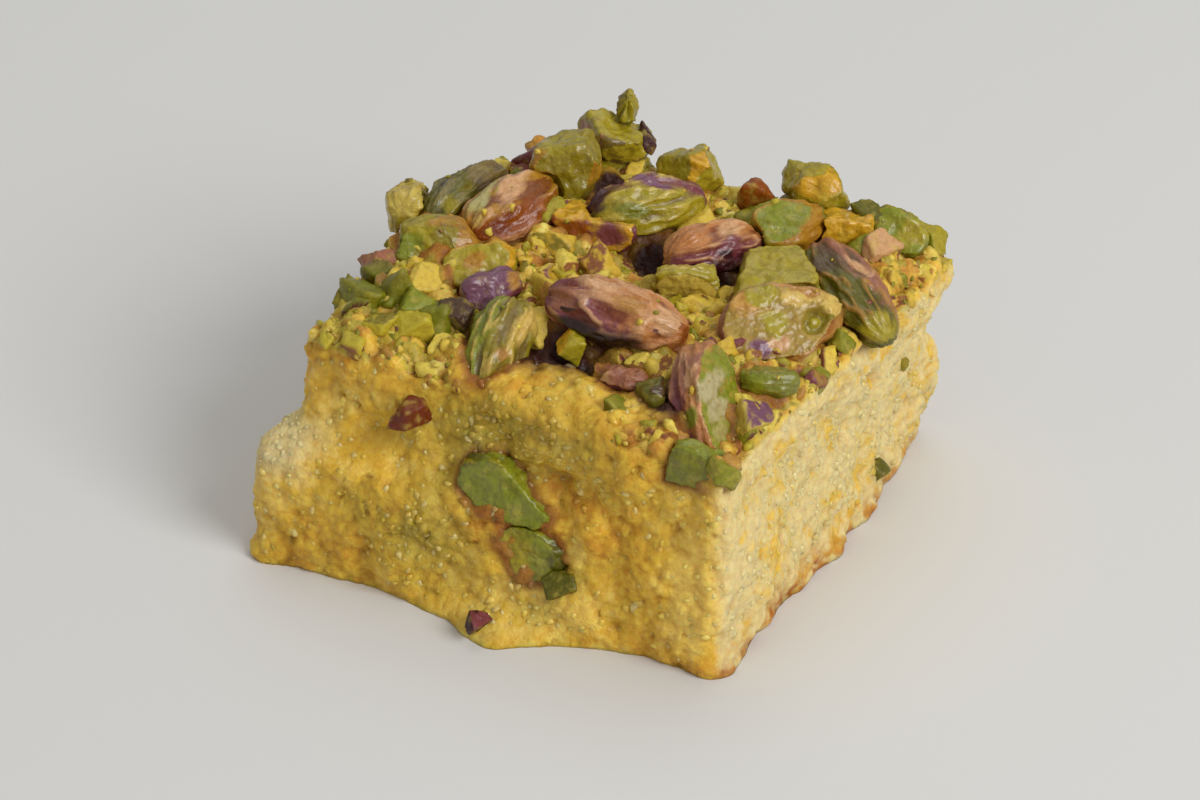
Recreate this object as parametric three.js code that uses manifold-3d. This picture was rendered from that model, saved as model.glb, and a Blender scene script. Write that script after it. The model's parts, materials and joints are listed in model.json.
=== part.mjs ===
// Semolina cake: one hand-cut square of syrup-soaked semolina cake. Whole and chopped pistachios are
// pressed into its top, and a few more show in its sides.
// Millimetres, +Z up. The origin is the middle of the flat foot, and the front face looks to -Y.

import * as THREE from "three";
import { mergeVertices } from "three/addons/utils/BufferGeometryUtils.js";
import Module from "manifold-3d";

const wasm = await Module();
wasm.setup();

// Where the cut block's corners stand at the foot and at the shoulder, how high each shoulder is, and at
// what share of that height its two edges step in or out to it.
const CORNERS = [
  {
    name: "front left", side: -1, depth: -1, foot: [-27.8, -25.8], shoulder: [-24.3, -20],
    height: 26, ledge: 0.58,
  },
  {
    name: "front right", side: 1, depth: -1, foot: [26.4, -26], shoulder: [25.6, -25],
    height: 25, ledge: 0.5,
  },
  {
    name: "back right", side: 1, depth: 1, foot: [29.2, 26.4], shoulder: [32, 23.5],
    height: 24.5, ledge: 0.8,
  },
  {
    name: "back left", side: -1, depth: 1, foot: [-22.5, 25.6], shoulder: [-17, 25.5],
    height: 26.5, ledge: 0.5,
  },
];
const BLOCK = { width: 54, depth: 50, height: 26, edgeRadius: 2.2 };
const CELLS = { across: 19, along: 17, up: 8 };
// How soon a side has stepped, as a share of its height, and how much of its lean is that step.
const LEDGE = { reach: 0.08, share: 0.7 };

// Relief: missing crumbs a few millimetres wide, and the bed of ground nuts that swells the top.
const CRAG = { size: 7.5, depth: 1.1 };
const CRUMB = { size: 3.6, depth: 0.7 };
const BED_HEIGHT = 2.2;

// Where the crumb stands out or, below 0, has broken away, by rise millimetres.
const LUMPS = [
  { name: "hollow below kernel_red", at: [1.5, -12.8, 27], reach: [7.5, 2.4, 5], rise: -3 },
  { name: "hollow beside kernel_ridged", at: [4.4, 6.6, 27], reach: [3, 2.4, 4], rise: -3 },
  { name: "hollow below kernel_pink", at: [12, 3.8, 27], reach: [2.6, 2.4, 4], rise: -3 },
  { name: "recess of the front pistachios", at: [3.5, -25, 11.5], reach: [7.5, 5, 8], rise: -1.4 },
  { name: "crevice over kernel_side", at: [5, -24.5, 17.6], reach: [4, 4, 1.2], rise: -1.4 },
  { name: "loose crumb at the foot", at: [1.2, -27, 0], reach: [5, 7, 2.4], rise: 4.8 },
  { name: "loose crumb below half_side", at: [8, -26, 4.4], reach: [3, 5, 2], rise: 1.5 },
  { name: "swell of the left ledge", at: [-28, -23, 7], reach: [5, 6, 4.6], rise: 1.2 },
  { name: "swell of the left side", at: [-22, 3, 18], reach: [8, 13, 14], rise: 3 },
];

const UP = new THREE.Vector3(0, 0, 1);
const GAP = 0.3; // between a pistachio and what it sits in
const KERNEL_SIDES = 10;
const KERNEL_RINGS = 6;
// How much fuller its ends are than an egg's, how it narrows to its tip, and its keel and flat belly.
const KERNEL_FORM = { fullness: 0.18, taper: 0.12, bluntness: 0.06, keel: 0.1, belly: 0.94 };

// The pistachios that can be told apart. size is length, width and thickness of the whole kernel, and
// turn is heading, droop of its pointed end and roll in degrees. cuts are the knife's: which way each
// faces, as its heading and its tilt above the level in degrees, and how far it is from the kernel's
// middle, as a share of the kernel's reach that way. A chopped kernel gets its cuts by a rule instead.
const PISTACHIOS = [
  { name: "kernel_red", at: [6.7, -8, 29.2], size: [16.6, 8.8, 7.6], turn: [2, 3, -18], colour: "rose" },
  {
    name: "kernel_tan", at: [21.9, -0.6, 27.8], size: [14.4, 9.6, 8], turn: [50, 2, 10],
    colour: "tan", cuts: [[-52, 50, 0.45]],
  },
  {
    name: "kernel_front", at: [19.8, -15.6, 26.8], size: [14.2, 8, 7.4], turn: [-60, 26, 12],
    colour: "green", cuts: [[0, 36, 0.5]],
  },
  { name: "kernel_dark", at: [26, 9, 27], size: [16, 7.6, 6.6], turn: [-36, 16, -20], colour: "moss" },
  {
    name: "kernel_ridged", at: [0.8, 13, 28.8], size: [13.4, 8.4, 7.4], turn: [38, -4, 15],
    colour: "green",
  },
  { name: "kernel_pink", at: [10.6, 8.4, 28.6], size: [12, 7.2, 6.6], turn: [50, 3, -10], colour: "rose" },
  {
    name: "kernel_orange", at: [-12.2, 6.4, 29], size: [13.4, 8.2, 7], turn: [70, -6, -15],
    colour: "amber",
  },
  {
    name: "kernel_grey", at: [-18.1, 7.8, 28.1], size: [13, 7.4, 6.4], turn: [74, -8, 10],
    colour: "umber",
  },
  {
    name: "kernel_edge", at: [-4, -14.8, 26.6], size: [12, 7.4, 6.4], turn: [-89, 31, 8],
    colour: "green",
  },
  {
    name: "kernel_side", at: [1, -22.8, 15], size: [11.8, 7.4, 6.4], turn: [-4, 14, 78],
    colour: "leaf", cuts: [[-90, 8, 0.5], [0, 49, 0.55]],
  },
  {
    name: "half_red", at: [-3, 8, 28.8], size: [10.4, 7.4, 7], turn: [-6, 0, -14],
    colour: "amber", cuts: [[100, 84, 0.3], [-80, 12, 0.5], [176, 10, 0.85]],
  },
  {
    name: "half_green", at: [18.6, 5.8, 28.9], size: [13, 10.5, 7.4], turn: [39, 0, 0],
    colour: "lime", cuts: [[-66, 84, 0.4], [122, 12, 0.8], [43, 12, 0.65], [195, 14, 0.58]],
  },
  {
    name: "half_side", at: [4.4, -23.6, 8.8], size: [10, 7, 6.4], turn: [38, 0, 70],
    colour: "leaf", cuts: [[-90, 5, 0.4], [200, -30, 0.75], [20, 60, 0.8]],
  },
  {
    name: "chunk_tall", at: [-9.6, 14.4, 30.2], size: [13, 8.6, 8.4], turn: [50, -62, 0],
    colour: "lime", cuts: [[-66, 18, 0.66], [196, 8, 0.78], [150, 72, 0.6], [20, 30, 0.74]],
  },
  {
    name: "chunk_smooth", at: [-17, -2, 28.4], size: [11, 7.4, 6.6], turn: [28, 0, 10],
    colour: "lime", cuts: [[200, 5, 0.72], [36, 12, 0.78], [-70, 35, 0.82]],
  },
  {
    name: "chunk_olive", at: [16, 15.6, 28.8], size: [10.4, 6.8, 6], turn: [56, 0, 0],
    colour: "lime", cuts: [[-60, 66, 0.7], [225, 20, 0.8], [40, 0, 0.8]],
  },
  {
    name: "chunk_golden", at: [21.4, 18.6, 28.2], size: [8.6, 6.6, 6], turn: [20, -6, 20],
    colour: "amber", cuts: [[-70, 15, 0.6], [110, 78, 0.5], [20, 0, 0.7], [200, 10, 0.72]],
  },
  {
    name: "chunk_middle", at: [10.2, 2, 28.6], size: [9, 6.8, 6.4], turn: [25, 0, 30],
    colour: "lime", chopped: 3,
  },
  {
    name: "chunk_back", at: [2.2, 22.4, 28.8], size: [9.4, 6.6, 6], turn: [-8, 0, 0],
    colour: "lime", chopped: 11,
  },
  {
    name: "chunk_rear", at: [-7.4, 22.6, 30.4], size: [9.6, 6.6, 6.2], turn: [12, 0, 0],
    colour: "umber", chopped: 5,
  },
  {
    name: "chip_upright", at: [-6.8, 24.4, 32], size: [7.4, 3.4, 2.6], turn: [20, -80, 0],
    colour: "moss",
  },
  {
    name: "chunk_far", at: [16.2, 23, 30], size: [9, 6.4, 6], turn: [-12, 10, 0],
    colour: "lime", chopped: 7,
  },
  {
    name: "chunk_right", at: [26.3, 21.2, 27.6], size: [8, 6, 5], turn: [-14, 4, 15],
    colour: "leaf", cuts: [[-70, 50, 0.5], [190, 10, 0.75], [70, 20, 0.7]],
  },
  {
    name: "chunk_left", at: [-22.6, 4.8, 28], size: [8, 6.6, 6.2], turn: [60, -10, 0],
    colour: "amber", chopped: 13,
  },
  {
    name: "chunk_curl", at: [24.4, -9.8, 27], size: [7, 5, 4.6], turn: [12, 0, 0],
    colour: "leaf", cuts: [[120, 70, 0.55], [190, 0, 0.8]],
  },
  {
    name: "chunk_shaded", at: [14.4, -16.4, 26.4], size: [6.4, 5, 4.6], turn: [30, 20, 0],
    colour: "moss", chopped: 17,
  },
  {
    name: "sliver_lime", at: [-11, -4, 28.4], size: [9.6, 5.8, 5], turn: [46, 0, 15],
    colour: "lime", cuts: [[-60, 60, 0.6], [226, 0, 0.8], [30, 10, 0.85]],
  },
  {
    name: "sliver_purple", at: [-7.8, -8, 28.6], size: [8.4, 4.6, 4.6], turn: [62, 0, 0],
    colour: "plum", cuts: [[-62, 30, 0.6], [62, 0, 0.75], [220, 5, 0.8]],
  },
  {
    name: "chip_purple", at: [10.4, -14.8, 26.8], size: [6, 4, 3.2], turn: [20, 10, 0],
    colour: "plum", chopped: 19,
  },
  {
    name: "wedge_front", at: [21.8, -22.6, 23.6], size: [7.6, 6, 5.6], turn: [10, 0, 60],
    colour: "leaf", cuts: [[-90, 8, 0.55], [180, 10, 0.7], [0, 0, 0.72], [-90, -70, 0.66]],
  },
  {
    name: "kernel_behind", at: [-6, 23.8, 13.5], size: [12.6, 8, 6.4], turn: [172, 12, -76],
    colour: "leaf", cuts: [[90, 6, 0.5]],
  },
  {
    name: "half_left", at: [-25.6, 3, 11], size: [11.4, 7.4, 6.2], turn: [-96, 20, 84],
    colour: "leaf", cuts: [[180, 5, 0.45], [100, 20, 0.8]],
  },
];

// The cuts of a chopped kernel: some from all round and one from above, each with its tilt in degrees
// and its share of the kernel's reach between two limits.
const CHOPPED = { sides: 4, jitter: 0.7, tilt: [-15, 29], topTilt: [58, 90], share: [0.45, 0.82] };

// Chopped pieces that show one by one, fused to the crumb.
const PLACED_BITS = [
  { name: "striped bit beside kernel_front", at: [24.8, -14.4, 25.8], size: 3.8 },
  { name: "green bit on the bare strip", at: [11.8, -18.9, 25.4], size: 3.4 },
  { name: "yellow bit below kernel_red", at: [3.3, -12.2, 27.4], size: 3.4 },
  { name: "pink bits at the left", at: [-21.2, -6.2, 27.6], size: 4 },
  { name: "pink bits at the left, lower", at: [-20.2, -8.8, 27.4], size: 4 },
  { name: "green bit of the front left heap", at: [-19.6, -13.4, 27.2], size: 4 },
  { name: "green bit of the front left heap, second", at: [-17.2, -11.6, 28], size: 4.4 },
  { name: "green bit of the front left heap, third", at: [-14.4, -13, 27.8], size: 4.4 },
  { name: "green bit of the front left heap, fourth", at: [-11.8, -13.6, 27], size: 4.6 },
  { name: "green bit of the front left heap, fifth", at: [-21.6, -13, 26.6], size: 3.4 },
  { name: "dark sliver beside kernel_edge", at: [-10, -12.8, 28], size: 3.4 },
  { name: "pink bit beside kernel_dark", at: [25.7, 17.4, 28], size: 3.8 },
  { name: "red bit at the back", at: [10.1, 20.1, 29.2], size: 3.2 },
  { name: "purple bit behind chip_upright", at: [-3.8, 23.4, 30.2], size: 2.4 },
  { name: "lime bit at the far corner", at: [29.2, 23, 26.6], size: 3.2 },
  { name: "dark bit before chunk_right", at: [23.4, 21.8, 28.4], size: 3.8 },
  { name: "red bit in the front", at: [-10.3, -22.2, 21.3], size: 3.8 },
  { name: "green bit high in the right side", at: [28.6, 16, 15], size: 3.2 },
  { name: "green bit at the foot of the right side", at: [28.2, 12, 3.2], size: 3 },
  { name: "purple bit in the loose crumb", at: [0, -29.3, 2.4], size: 2.6 },
  { name: "moss bit beside half_side", at: [7.6, -25.2, 6.6], size: 3.2 },
  { name: "bit below chunk_far", at: [16.4, 22.8, 27], size: 5.6 },
  { name: "bit below chunk_rear", at: [-7, 22.4, 27.4], size: 5 },
];
const FIRST_PLACED_SEED = 700;

// The other chopped pieces: on the top by a rule that spreads them evenly, save where syrup has washed the
// crumb bare, and a few on the back and the left side. clear is how far each keeps from the pistachios above.
const TOP_BITS = { count: 96, size: [2.5, 4.8], reach: 0.92, sink: [-0.1, 0.2], clear: 0.2 };
const BARE = { at: [5, -19.5], reach: [12, 6] };
// A chopped piece's cut faces: which way each looks, and how far from its middle it may be, as a share
// of its size. Each is askew by its own amount.
const BIT_FACES = [
  { way: [1, 0, 0], reach: [0.44, 0.58] },
  { way: [-1, 0, 0], reach: [0.44, 0.58] },
  { way: [0, 1, 0], reach: [0.34, 0.46] },
  { way: [0, -1, 0], reach: [0.34, 0.46] },
  { way: [0, 0, 1], reach: [0.26, 0.38] },
  { way: [0, 0, -1], reach: [0.26, 0.38] },
  { way: [1, 1, 1], reach: [0.38, 0.5] },
  { way: [-1, 1, -1], reach: [0.38, 0.5] },
];
const BIT_ASKEW = 0.6;
const BIT_TIP = [-0.47, 0.47]; // how far a piece may tip end over end, in radians
const SIDE_BITS = {
  faces: [[0, 1], [-1, 0]], perSide: 3, size: [1.8, 3.2], reach: 0.9, clear: 0.5, firstSeed: 500,
};

const CRUMB_ROUGHNESS = 0.6;
const GLAZE_ROUGHNESS = 0.35;
const COLOURS = {
  crumb: 0xd9a63c,
  rose: 0x9c6252,
  tan: 0xb09a60,
  green: 0x868f3e,
  moss: 0x5f6a32,
  amber: 0xc08a3e,
  umber: 0x77704a,
  leaf: 0x7a9a35,
  lime: 0xa8a336,
  plum: 0x6d3d4c,
};

// A repeatable number from 0 to 1 for three whole numbers.
function draw(i, j, k) {
  const wave = Math.sin(i * 127.1 + j * 311.7 + k * 74.7) * 43758.5453;
  return wave - Math.floor(wave);
}

// A repeatable number between two limits.
function within([low, high], i, j, k) {
  return THREE.MathUtils.lerp(low, high, draw(i, j, k));
}

// Smooth bumps from -1 to 1, one unit apart.
function bumps(x, y, z) {
  const base = [x, y, z].map(Math.floor);
  const ease = [x, y, z].map((v, n) => THREE.MathUtils.smoothstep(v - base[n], 0, 1));
  let sum = 0;
  for (let corner = 0; corner < 8; corner++) {
    const step = [corner & 1, (corner >> 1) & 1, (corner >> 2) & 1];
    const weight = step.reduce((w, s, n) => w * (s ? ease[n] : 1 - ease[n]), 1);
    sum += weight * draw(base[0] + step[0], base[1] + step[1], base[2] + step[2]);
  }
  return 2 * sum - 1;
}

// How far the crumb's skin stands out at a point.
function relief(p) {
  const crag = bumps(p.x / CRAG.size, p.y / CRAG.size, p.z / CRAG.size) * CRAG.depth;
  const crumb = bumps(p.x / CRUMB.size, p.y / CRUMB.size, p.z / CRUMB.size + 40) * CRUMB.depth;
  return LUMPS.reduce((sum, { at, reach, rise }) => {
    const [x, y, z] = [p.x, p.y, p.z].map((v, n) => (v - at[n]) / reach[n]);
    return sum + rise * Math.exp(-(x * x + y * y + z * z));
  }, crag + crumb);
}

// The cut block: a and b run from -1 to 1 across and along it, t from 0 at the foot to 1 at the shoulder.
function blockPoint(a, b, t) {
  const p = new THREE.Vector3();
  for (const { side, depth, foot, shoulder, height, ledge } of CORNERS) {
    const weight = ((1 + a * side) * (1 + b * depth)) / 4;
    const stepped = THREE.MathUtils.smoothstep(t, ledge - LEDGE.reach, ledge + LEDGE.reach);
    const lean = THREE.MathUtils.lerp(t, stepped, LEDGE.share);
    p.x += weight * THREE.MathUtils.lerp(foot[0], shoulder[0], lean);
    p.y += weight * THREE.MathUtils.lerp(foot[1], shoulder[1], lean);
    p.z += weight * height * t;
  }
  return p;
}

// A point of the crumb's skin, moved out along its face by the relief and, on top, by the bed of nuts.
function skinPoint(a, b, t, out) {
  const p = blockPoint(a, b, t);
  const bed = BED_HEIGHT * (1 - Math.max(Math.abs(a), Math.abs(b)) ** 4) * Math.max(out.z, 0);
  return p.addScaledVector(out, relief(p) + bed);
}

function blockGeometry() {
  const half = new THREE.Vector3(BLOCK.width, BLOCK.depth, BLOCK.height).multiplyScalar(0.5);
  const geometry = new THREE.BoxGeometry(
    BLOCK.width, BLOCK.depth, BLOCK.height, CELLS.across, CELLS.along, CELLS.up,
  );
  const inner = new THREE.Box3(
    new THREE.Vector3(BLOCK.edgeRadius - half.x, BLOCK.edgeRadius - half.y, -half.z),
    half.clone().subScalar(BLOCK.edgeRadius),
  );
  const place = geometry.getAttribute("position");
  const p = new THREE.Vector3();
  const core = new THREE.Vector3();
  for (let n = 0; n < place.count; n++) {
    inner.clampPoint(p.fromBufferAttribute(place, n), core);
    const out = p.clone().sub(core).normalize();
    p.copy(core).addScaledVector(out, BLOCK.edgeRadius);
    const skin = skinPoint(p.x / half.x, p.y / half.y, (p.z / half.z + 1) / 2, out);
    place.setXYZ(n, skin.x, skin.y, skin.z);
  }
  return geometry;
}

// A whole kernel about its own middle, its pointed end to +X and its keel to +Z.
function kernelGeometry([length, width, thickness]) {
  const geometry = new THREE.SphereGeometry(1, KERNEL_SIDES, KERNEL_RINGS).rotateZ(-Math.PI / 2);
  const place = geometry.getAttribute("position");
  for (let n = 0; n < place.count; n++) {
    const [x, y, z] = [place.getX(n), place.getY(n), place.getZ(n)];
    const full = Math.max(Math.hypot(y, z), 1e-6) ** -KERNEL_FORM.fullness;
    const taper = 1 - KERNEL_FORM.taper * x - KERNEL_FORM.bluntness * x * x;
    const keel = z > 0 ? 1 + KERNEL_FORM.keel * (1 - Math.abs(y)) : KERNEL_FORM.belly;
    place.setXYZ(
      n,
      (x * length) / 2,
      (y * full * taper * width) / 2,
      (z * full * taper * keel * thickness) / 2,
    );
  }
  return geometry;
}

function toSolid(geometry) {
  const bare = geometry.clone();
  bare.deleteAttribute("normal");
  bare.deleteAttribute("uv");
  const merged = mergeVertices(bare, 1e-4);
  return new wasm.Manifold(
    new wasm.Mesh({
      numProp: 3,
      vertProperties: merged.getAttribute("position").array,
      triVerts: new Uint32Array(merged.index.array),
    }),
  );
}

function toMesh(name, solid, colour, roughness) {
  const made = solid.getMesh();
  const geometry = new THREE.BufferGeometry();
  geometry.setAttribute("position", new THREE.BufferAttribute(made.vertProperties, 3));
  geometry.setIndex(new THREE.BufferAttribute(made.triVerts, 1));
  geometry.computeVertexNormals();
  const material = new THREE.MeshStandardMaterial({ color: colour, roughness, metalness: 0 });
  const mesh = new THREE.Mesh(geometry, material);
  mesh.name = name;
  return mesh;
}

// The largest body of a solid, so that scraps which a cut has freed are dropped.
function mainBody(solid) {
  return solid.decompose().reduce((best, body) => (body.volume() > best.volume() ? body : best));
}

function headingOf({ turn }) {
  const [heading, droop, roll] = turn.map(THREE.MathUtils.degToRad);
  return new THREE.Euler(roll, droop, heading, "ZYX");
}

function placeOf(nut) {
  return new THREE.Matrix4().makeRotationFromEuler(headingOf(nut)).setPosition(...nut.at);
}

// A direction from its heading and its tilt above the level, in degrees.
function directionOf(heading, tilt) {
  const [h, t] = [heading, tilt].map(THREE.MathUtils.degToRad);
  return new THREE.Vector3(Math.cos(t) * Math.cos(h), Math.cos(t) * Math.sin(h), Math.sin(t));
}

function choppedCuts(seed) {
  const { sides, jitter, tilt, topTilt, share } = CHOPPED;
  const cuts = [[360 * draw(seed, sides, 1), within(topTilt, seed, sides, 2), within(share, seed, sides, 3)]];
  for (let n = 0; n < sides; n++) {
    const heading = (360 * (n + jitter * draw(seed, n, 1))) / sides;
    cuts.push([heading, within(tilt, seed, n, 2), within(share, seed, n, 3)]);
  }
  return cuts;
}

// Which way each of a pistachio's cuts faces in its own frame, and how far it is from its middle.
function cutsOf(nut) {
  const turn = new THREE.Quaternion().setFromEuler(headingOf(nut)).invert();
  const listed = nut.chopped ? choppedCuts(nut.chopped) : (nut.cuts ?? []);
  return listed.map(([heading, tilt, share]) => {
    const facing = directionOf(heading, tilt).applyQuaternion(turn);
    const reach = Math.hypot(...facing.toArray().map((v, n) => (v * nut.size[n]) / 2));
    return { facing, distance: share * reach };
  });
}

// What is left of a solid after knife cuts that face away from its middle.
function trimmed(solid, cuts) {
  return cuts.reduce((left, { facing, distance }) => {
    return left.trimByPlane(facing.clone().negate().toArray(), -distance);
  }, solid);
}

// One pistachio where it lies, trimmed as a knife left it, and grown by extra all round.
function pistachioSolid(nut, extra) {
  const whole = toSolid(kernelGeometry(nut.size.map((s) => s + 2 * extra)));
  const cuts = cutsOf(nut).map(({ facing, distance }) => ({ facing, distance: distance + extra }));
  return trimmed(whole, cuts).transform(placeOf(nut).elements);
}

// Each pistachio is cut clear of those placed before it, as they lie packed together.
function pistachioSolids() {
  const solids = [];
  const sockets = [];
  for (const nut of PISTACHIOS) {
    const clear = sockets.reduce((solid, socket) => solid.subtract(socket), pistachioSolid(nut, 0));
    solids.push(mainBody(clear));
    sockets.push(pistachioSolid(nut, GAP));
  }
  return { solids, sockets };
}

// Whether a point is inside a pistachio, or within reach of its skin.
function insidePistachio(point, reach) {
  return PISTACHIOS.some((nut) => {
    const local = point.clone().applyMatrix4(placeOf(nut).invert());
    const across = local.toArray().map((v, n) => v / (nut.size[n] / 2 + reach));
    const kept = cutsOf(nut).every(({ facing, distance }) => local.dot(facing) < distance + reach);
    return Math.hypot(...across) < 1 && kept;
  });
}

// The cut faces of chopped piece number seed.
function bitCuts(seed) {
  return BIT_FACES.map(({ way, reach }, n) => {
    const lean = [1, 2, 3].map((k) => BIT_ASKEW * (draw(seed, n, 20 + k) - 0.5));
    const facing = new THREE.Vector3(...way).add(new THREE.Vector3(...lean)).normalize();
    return { facing, distance: within(reach, seed, n, 24) };
  });
}

// One chopped piece: a chunk with flat faces, turned at random by its number.
function bitSolid(point, size, seed) {
  const turn = new THREE.Euler(
    Math.PI * draw(seed, 6, 0), within(BIT_TIP, seed, 7, 0), 2 * Math.PI * draw(seed, 8, 0), "ZYX",
  );
  const place = new THREE.Matrix4().makeRotationFromEuler(turn).scale(new THREE.Vector3(size, size, size));
  const chunk = trimmed(wasm.Manifold.cube([2, 2, 2], true), bitCuts(seed));
  return chunk.transform(place.setPosition(point).elements);
}

// Shares of the way across and along for piece n, spread evenly by the powers of the plastic number.
function spread(n) {
  return [0.7548776662, 0.569840291].map((step) => 2 * ((0.5 + step * n) % 1) - 1);
}

function isBare(point) {
  const [x, y] = [point.x, point.y].map((v, n) => (v - BARE.at[n]) / BARE.reach[n]);
  return Math.hypot(x, y) < 1;
}

function topBits() {
  const { count, size: limits, reach, sink, clear } = TOP_BITS;
  const bits = [];
  for (let n = 1; n <= count; n++) {
    const [a, b] = spread(n).map((share) => share * reach);
    const size = THREE.MathUtils.lerp(...limits, draw(n, 1, 0) ** 1.5);
    const point = skinPoint(a, b, 1, UP);
    point.z += size * within(sink, n, 2, 0);
    if (!isBare(point) && !insidePistachio(point, clear)) bits.push(bitSolid(point, size, n));
  }
  return bits;
}

function placedBits() {
  return PLACED_BITS.map(({ at, size }, n) => {
    return bitSolid(new THREE.Vector3(...at), size, FIRST_PLACED_SEED + n);
  });
}

function sideBits() {
  const { faces, perSide, size: limits, reach, clear, firstSeed } = SIDE_BITS;
  const bits = [];
  faces.forEach(([x, y], face) => {
    for (let n = 0; n < perSide; n++) {
      const seed = firstSeed + perSide * face + n;
      const along = reach * ((2 * (n + draw(seed, 1, 0))) / perSide - 1);
      const height = THREE.MathUtils.lerp(1 - reach, reach, draw(seed, 2, 0));
      const size = within(limits, seed, 9, 0);
      const point = skinPoint(x || along, y || along, height, new THREE.Vector3(x, y, 0));
      if (!insidePistachio(point, clear)) bits.push(bitSolid(point, size, seed));
    }
  });
  return bits;
}

function pistachioMesh(nut, solid) {
  const centred = solid.transform(placeOf(nut).invert().elements);
  const mesh = toMesh(nut.name, centred, COLOURS[nut.colour], GLAZE_ROUGHNESS);
  mesh.position.set(...nut.at);
  mesh.rotation.copy(headingOf(nut));
  return mesh;
}

const { solids, sockets } = pistachioSolids();
const crumb = toSolid(blockGeometry());
const studded = wasm.Manifold.union([crumb, ...topBits(), ...placedBits(), ...sideBits()]);
const cake = mainBody(studded.subtract(wasm.Manifold.union(sockets)));

const topping = new THREE.Group();
PISTACHIOS.forEach((nut, n) => topping.add(pistachioMesh(nut, solids[n])));

const semolinaCake = new THREE.Group();
semolinaCake.add(toMesh("cake", cake, COLOURS.crumb, CRUMB_ROUGHNESS), topping);

export default semolinaCake;
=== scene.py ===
"""Semolina cake: one hand-cut square soaked in syrup, with whole, halved and chopped pistachios on it.

Run as a script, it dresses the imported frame: the crumb and its semolina grains, the pistachios that can be
told apart, the chopped and ground ones between them, and a plain studio.
"""

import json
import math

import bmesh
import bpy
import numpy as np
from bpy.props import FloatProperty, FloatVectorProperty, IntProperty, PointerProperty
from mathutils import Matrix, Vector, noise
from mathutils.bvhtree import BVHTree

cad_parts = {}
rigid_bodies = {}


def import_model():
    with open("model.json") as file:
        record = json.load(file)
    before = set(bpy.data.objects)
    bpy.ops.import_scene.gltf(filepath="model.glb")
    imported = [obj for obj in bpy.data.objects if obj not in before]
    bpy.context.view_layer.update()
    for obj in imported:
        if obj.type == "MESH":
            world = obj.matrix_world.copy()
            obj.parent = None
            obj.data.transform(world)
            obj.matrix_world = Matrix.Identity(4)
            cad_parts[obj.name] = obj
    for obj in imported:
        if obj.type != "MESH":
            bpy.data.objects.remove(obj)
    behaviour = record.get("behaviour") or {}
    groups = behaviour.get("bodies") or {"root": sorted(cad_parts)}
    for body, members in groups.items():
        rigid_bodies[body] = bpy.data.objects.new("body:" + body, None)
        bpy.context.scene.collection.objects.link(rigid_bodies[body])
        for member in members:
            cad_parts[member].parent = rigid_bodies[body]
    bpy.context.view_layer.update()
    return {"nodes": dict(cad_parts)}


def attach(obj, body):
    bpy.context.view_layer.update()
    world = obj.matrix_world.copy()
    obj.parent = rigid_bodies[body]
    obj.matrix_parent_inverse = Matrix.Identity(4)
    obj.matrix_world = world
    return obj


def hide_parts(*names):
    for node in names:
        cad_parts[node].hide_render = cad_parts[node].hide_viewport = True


bl_info = {
    "name": "Semolina Cake with Pistachios",
    "version": (1, 0, 0),
    "blender": (4, 5, 0),
    "location": "3D View > Sidebar > Semolina Cake",
    "description": "Makes the crumb, grains, pistachios and studio of one square of semolina cake",
    "category": "Add Mesh",
}

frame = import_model()

MM = 0.001

# The cut block, in millimetres: where each corner stands at the foot and at the shoulder, how high the
# shoulder is, and at what share of that height its two edges step.
CORNERS = (
    {"side": -1, "depth": -1, "foot": (-27.8, -25.8), "shoulder": (-24.3, -20), "height": 26, "ledge": 0.58},
    {"side": 1, "depth": -1, "foot": (26.4, -26), "shoulder": (25.6, -25), "height": 25, "ledge": 0.5},
    {"side": 1, "depth": 1, "foot": (29.2, 26.4), "shoulder": (32, 23.5), "height": 24.5, "ledge": 0.8},
    {"side": -1, "depth": 1, "foot": (-22.5, 25.6), "shoulder": (-17, 25.5), "height": 26.5, "ledge": 0.5},
)
BLOCK_HALF = np.array((27, 25, 13))
EDGE_RADIUS = 2.2
LEDGE_REACH = 0.08
LEDGE_SHARE = 0.7
CRAG_SIZE, CRAG_DEPTH = 7.5, 1.1
CRUMB_SIZE, CRUMB_DEPTH = 3.6, 0.7
BED_HEIGHT = 2.2

# Where the crumb stands out or, below 0, has broken away: place, reach and rise.
LUMPS = (
    ((1.5, -12.8, 27), (7.5, 2.4, 5), -3),
    ((4.4, 6.6, 27), (3, 2.4, 4), -3),
    ((12, 3.8, 27), (2.6, 2.4, 4), -3),
    ((3.5, -25, 11.5), (7.5, 5, 8), -1.4),
    ((5, -24.5, 17.6), (4, 4, 1.2), -1.4),
    ((1.2, -27, 0), (5, 7, 2.4), 4.8),
    ((8, -26, 4.4), (3, 5, 2), 1.5),
    ((-28, -23, 7), (5, 6, 4.6), 1.2),
    ((-22, 3, 18), (8, 13, 14), 3),
)


def srgb(code):
    """The linear colour of a web colour such as 0xD9A63C."""
    shares = ((code >> shift & 255) / 255 for shift in (16, 8, 0))
    return tuple(c / 12.92 if c <= 0.04045 else ((c + 0.055) / 1.055) ** 2.4 for c in shares)


def length_property(name, description, millimetres):
    return FloatProperty(
        name=name, description=description, default=millimetres * MM, min=0, unit="LENGTH", precision=5
    )


def count_property(name, description, count):
    return IntProperty(name=name, description=description, default=count, min=0)


def colour_property(name, description, code):
    return FloatVectorProperty(
        name=name, description=description, default=srgb(code), size=3, min=0, max=1, subtype="COLOR"
    )


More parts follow.
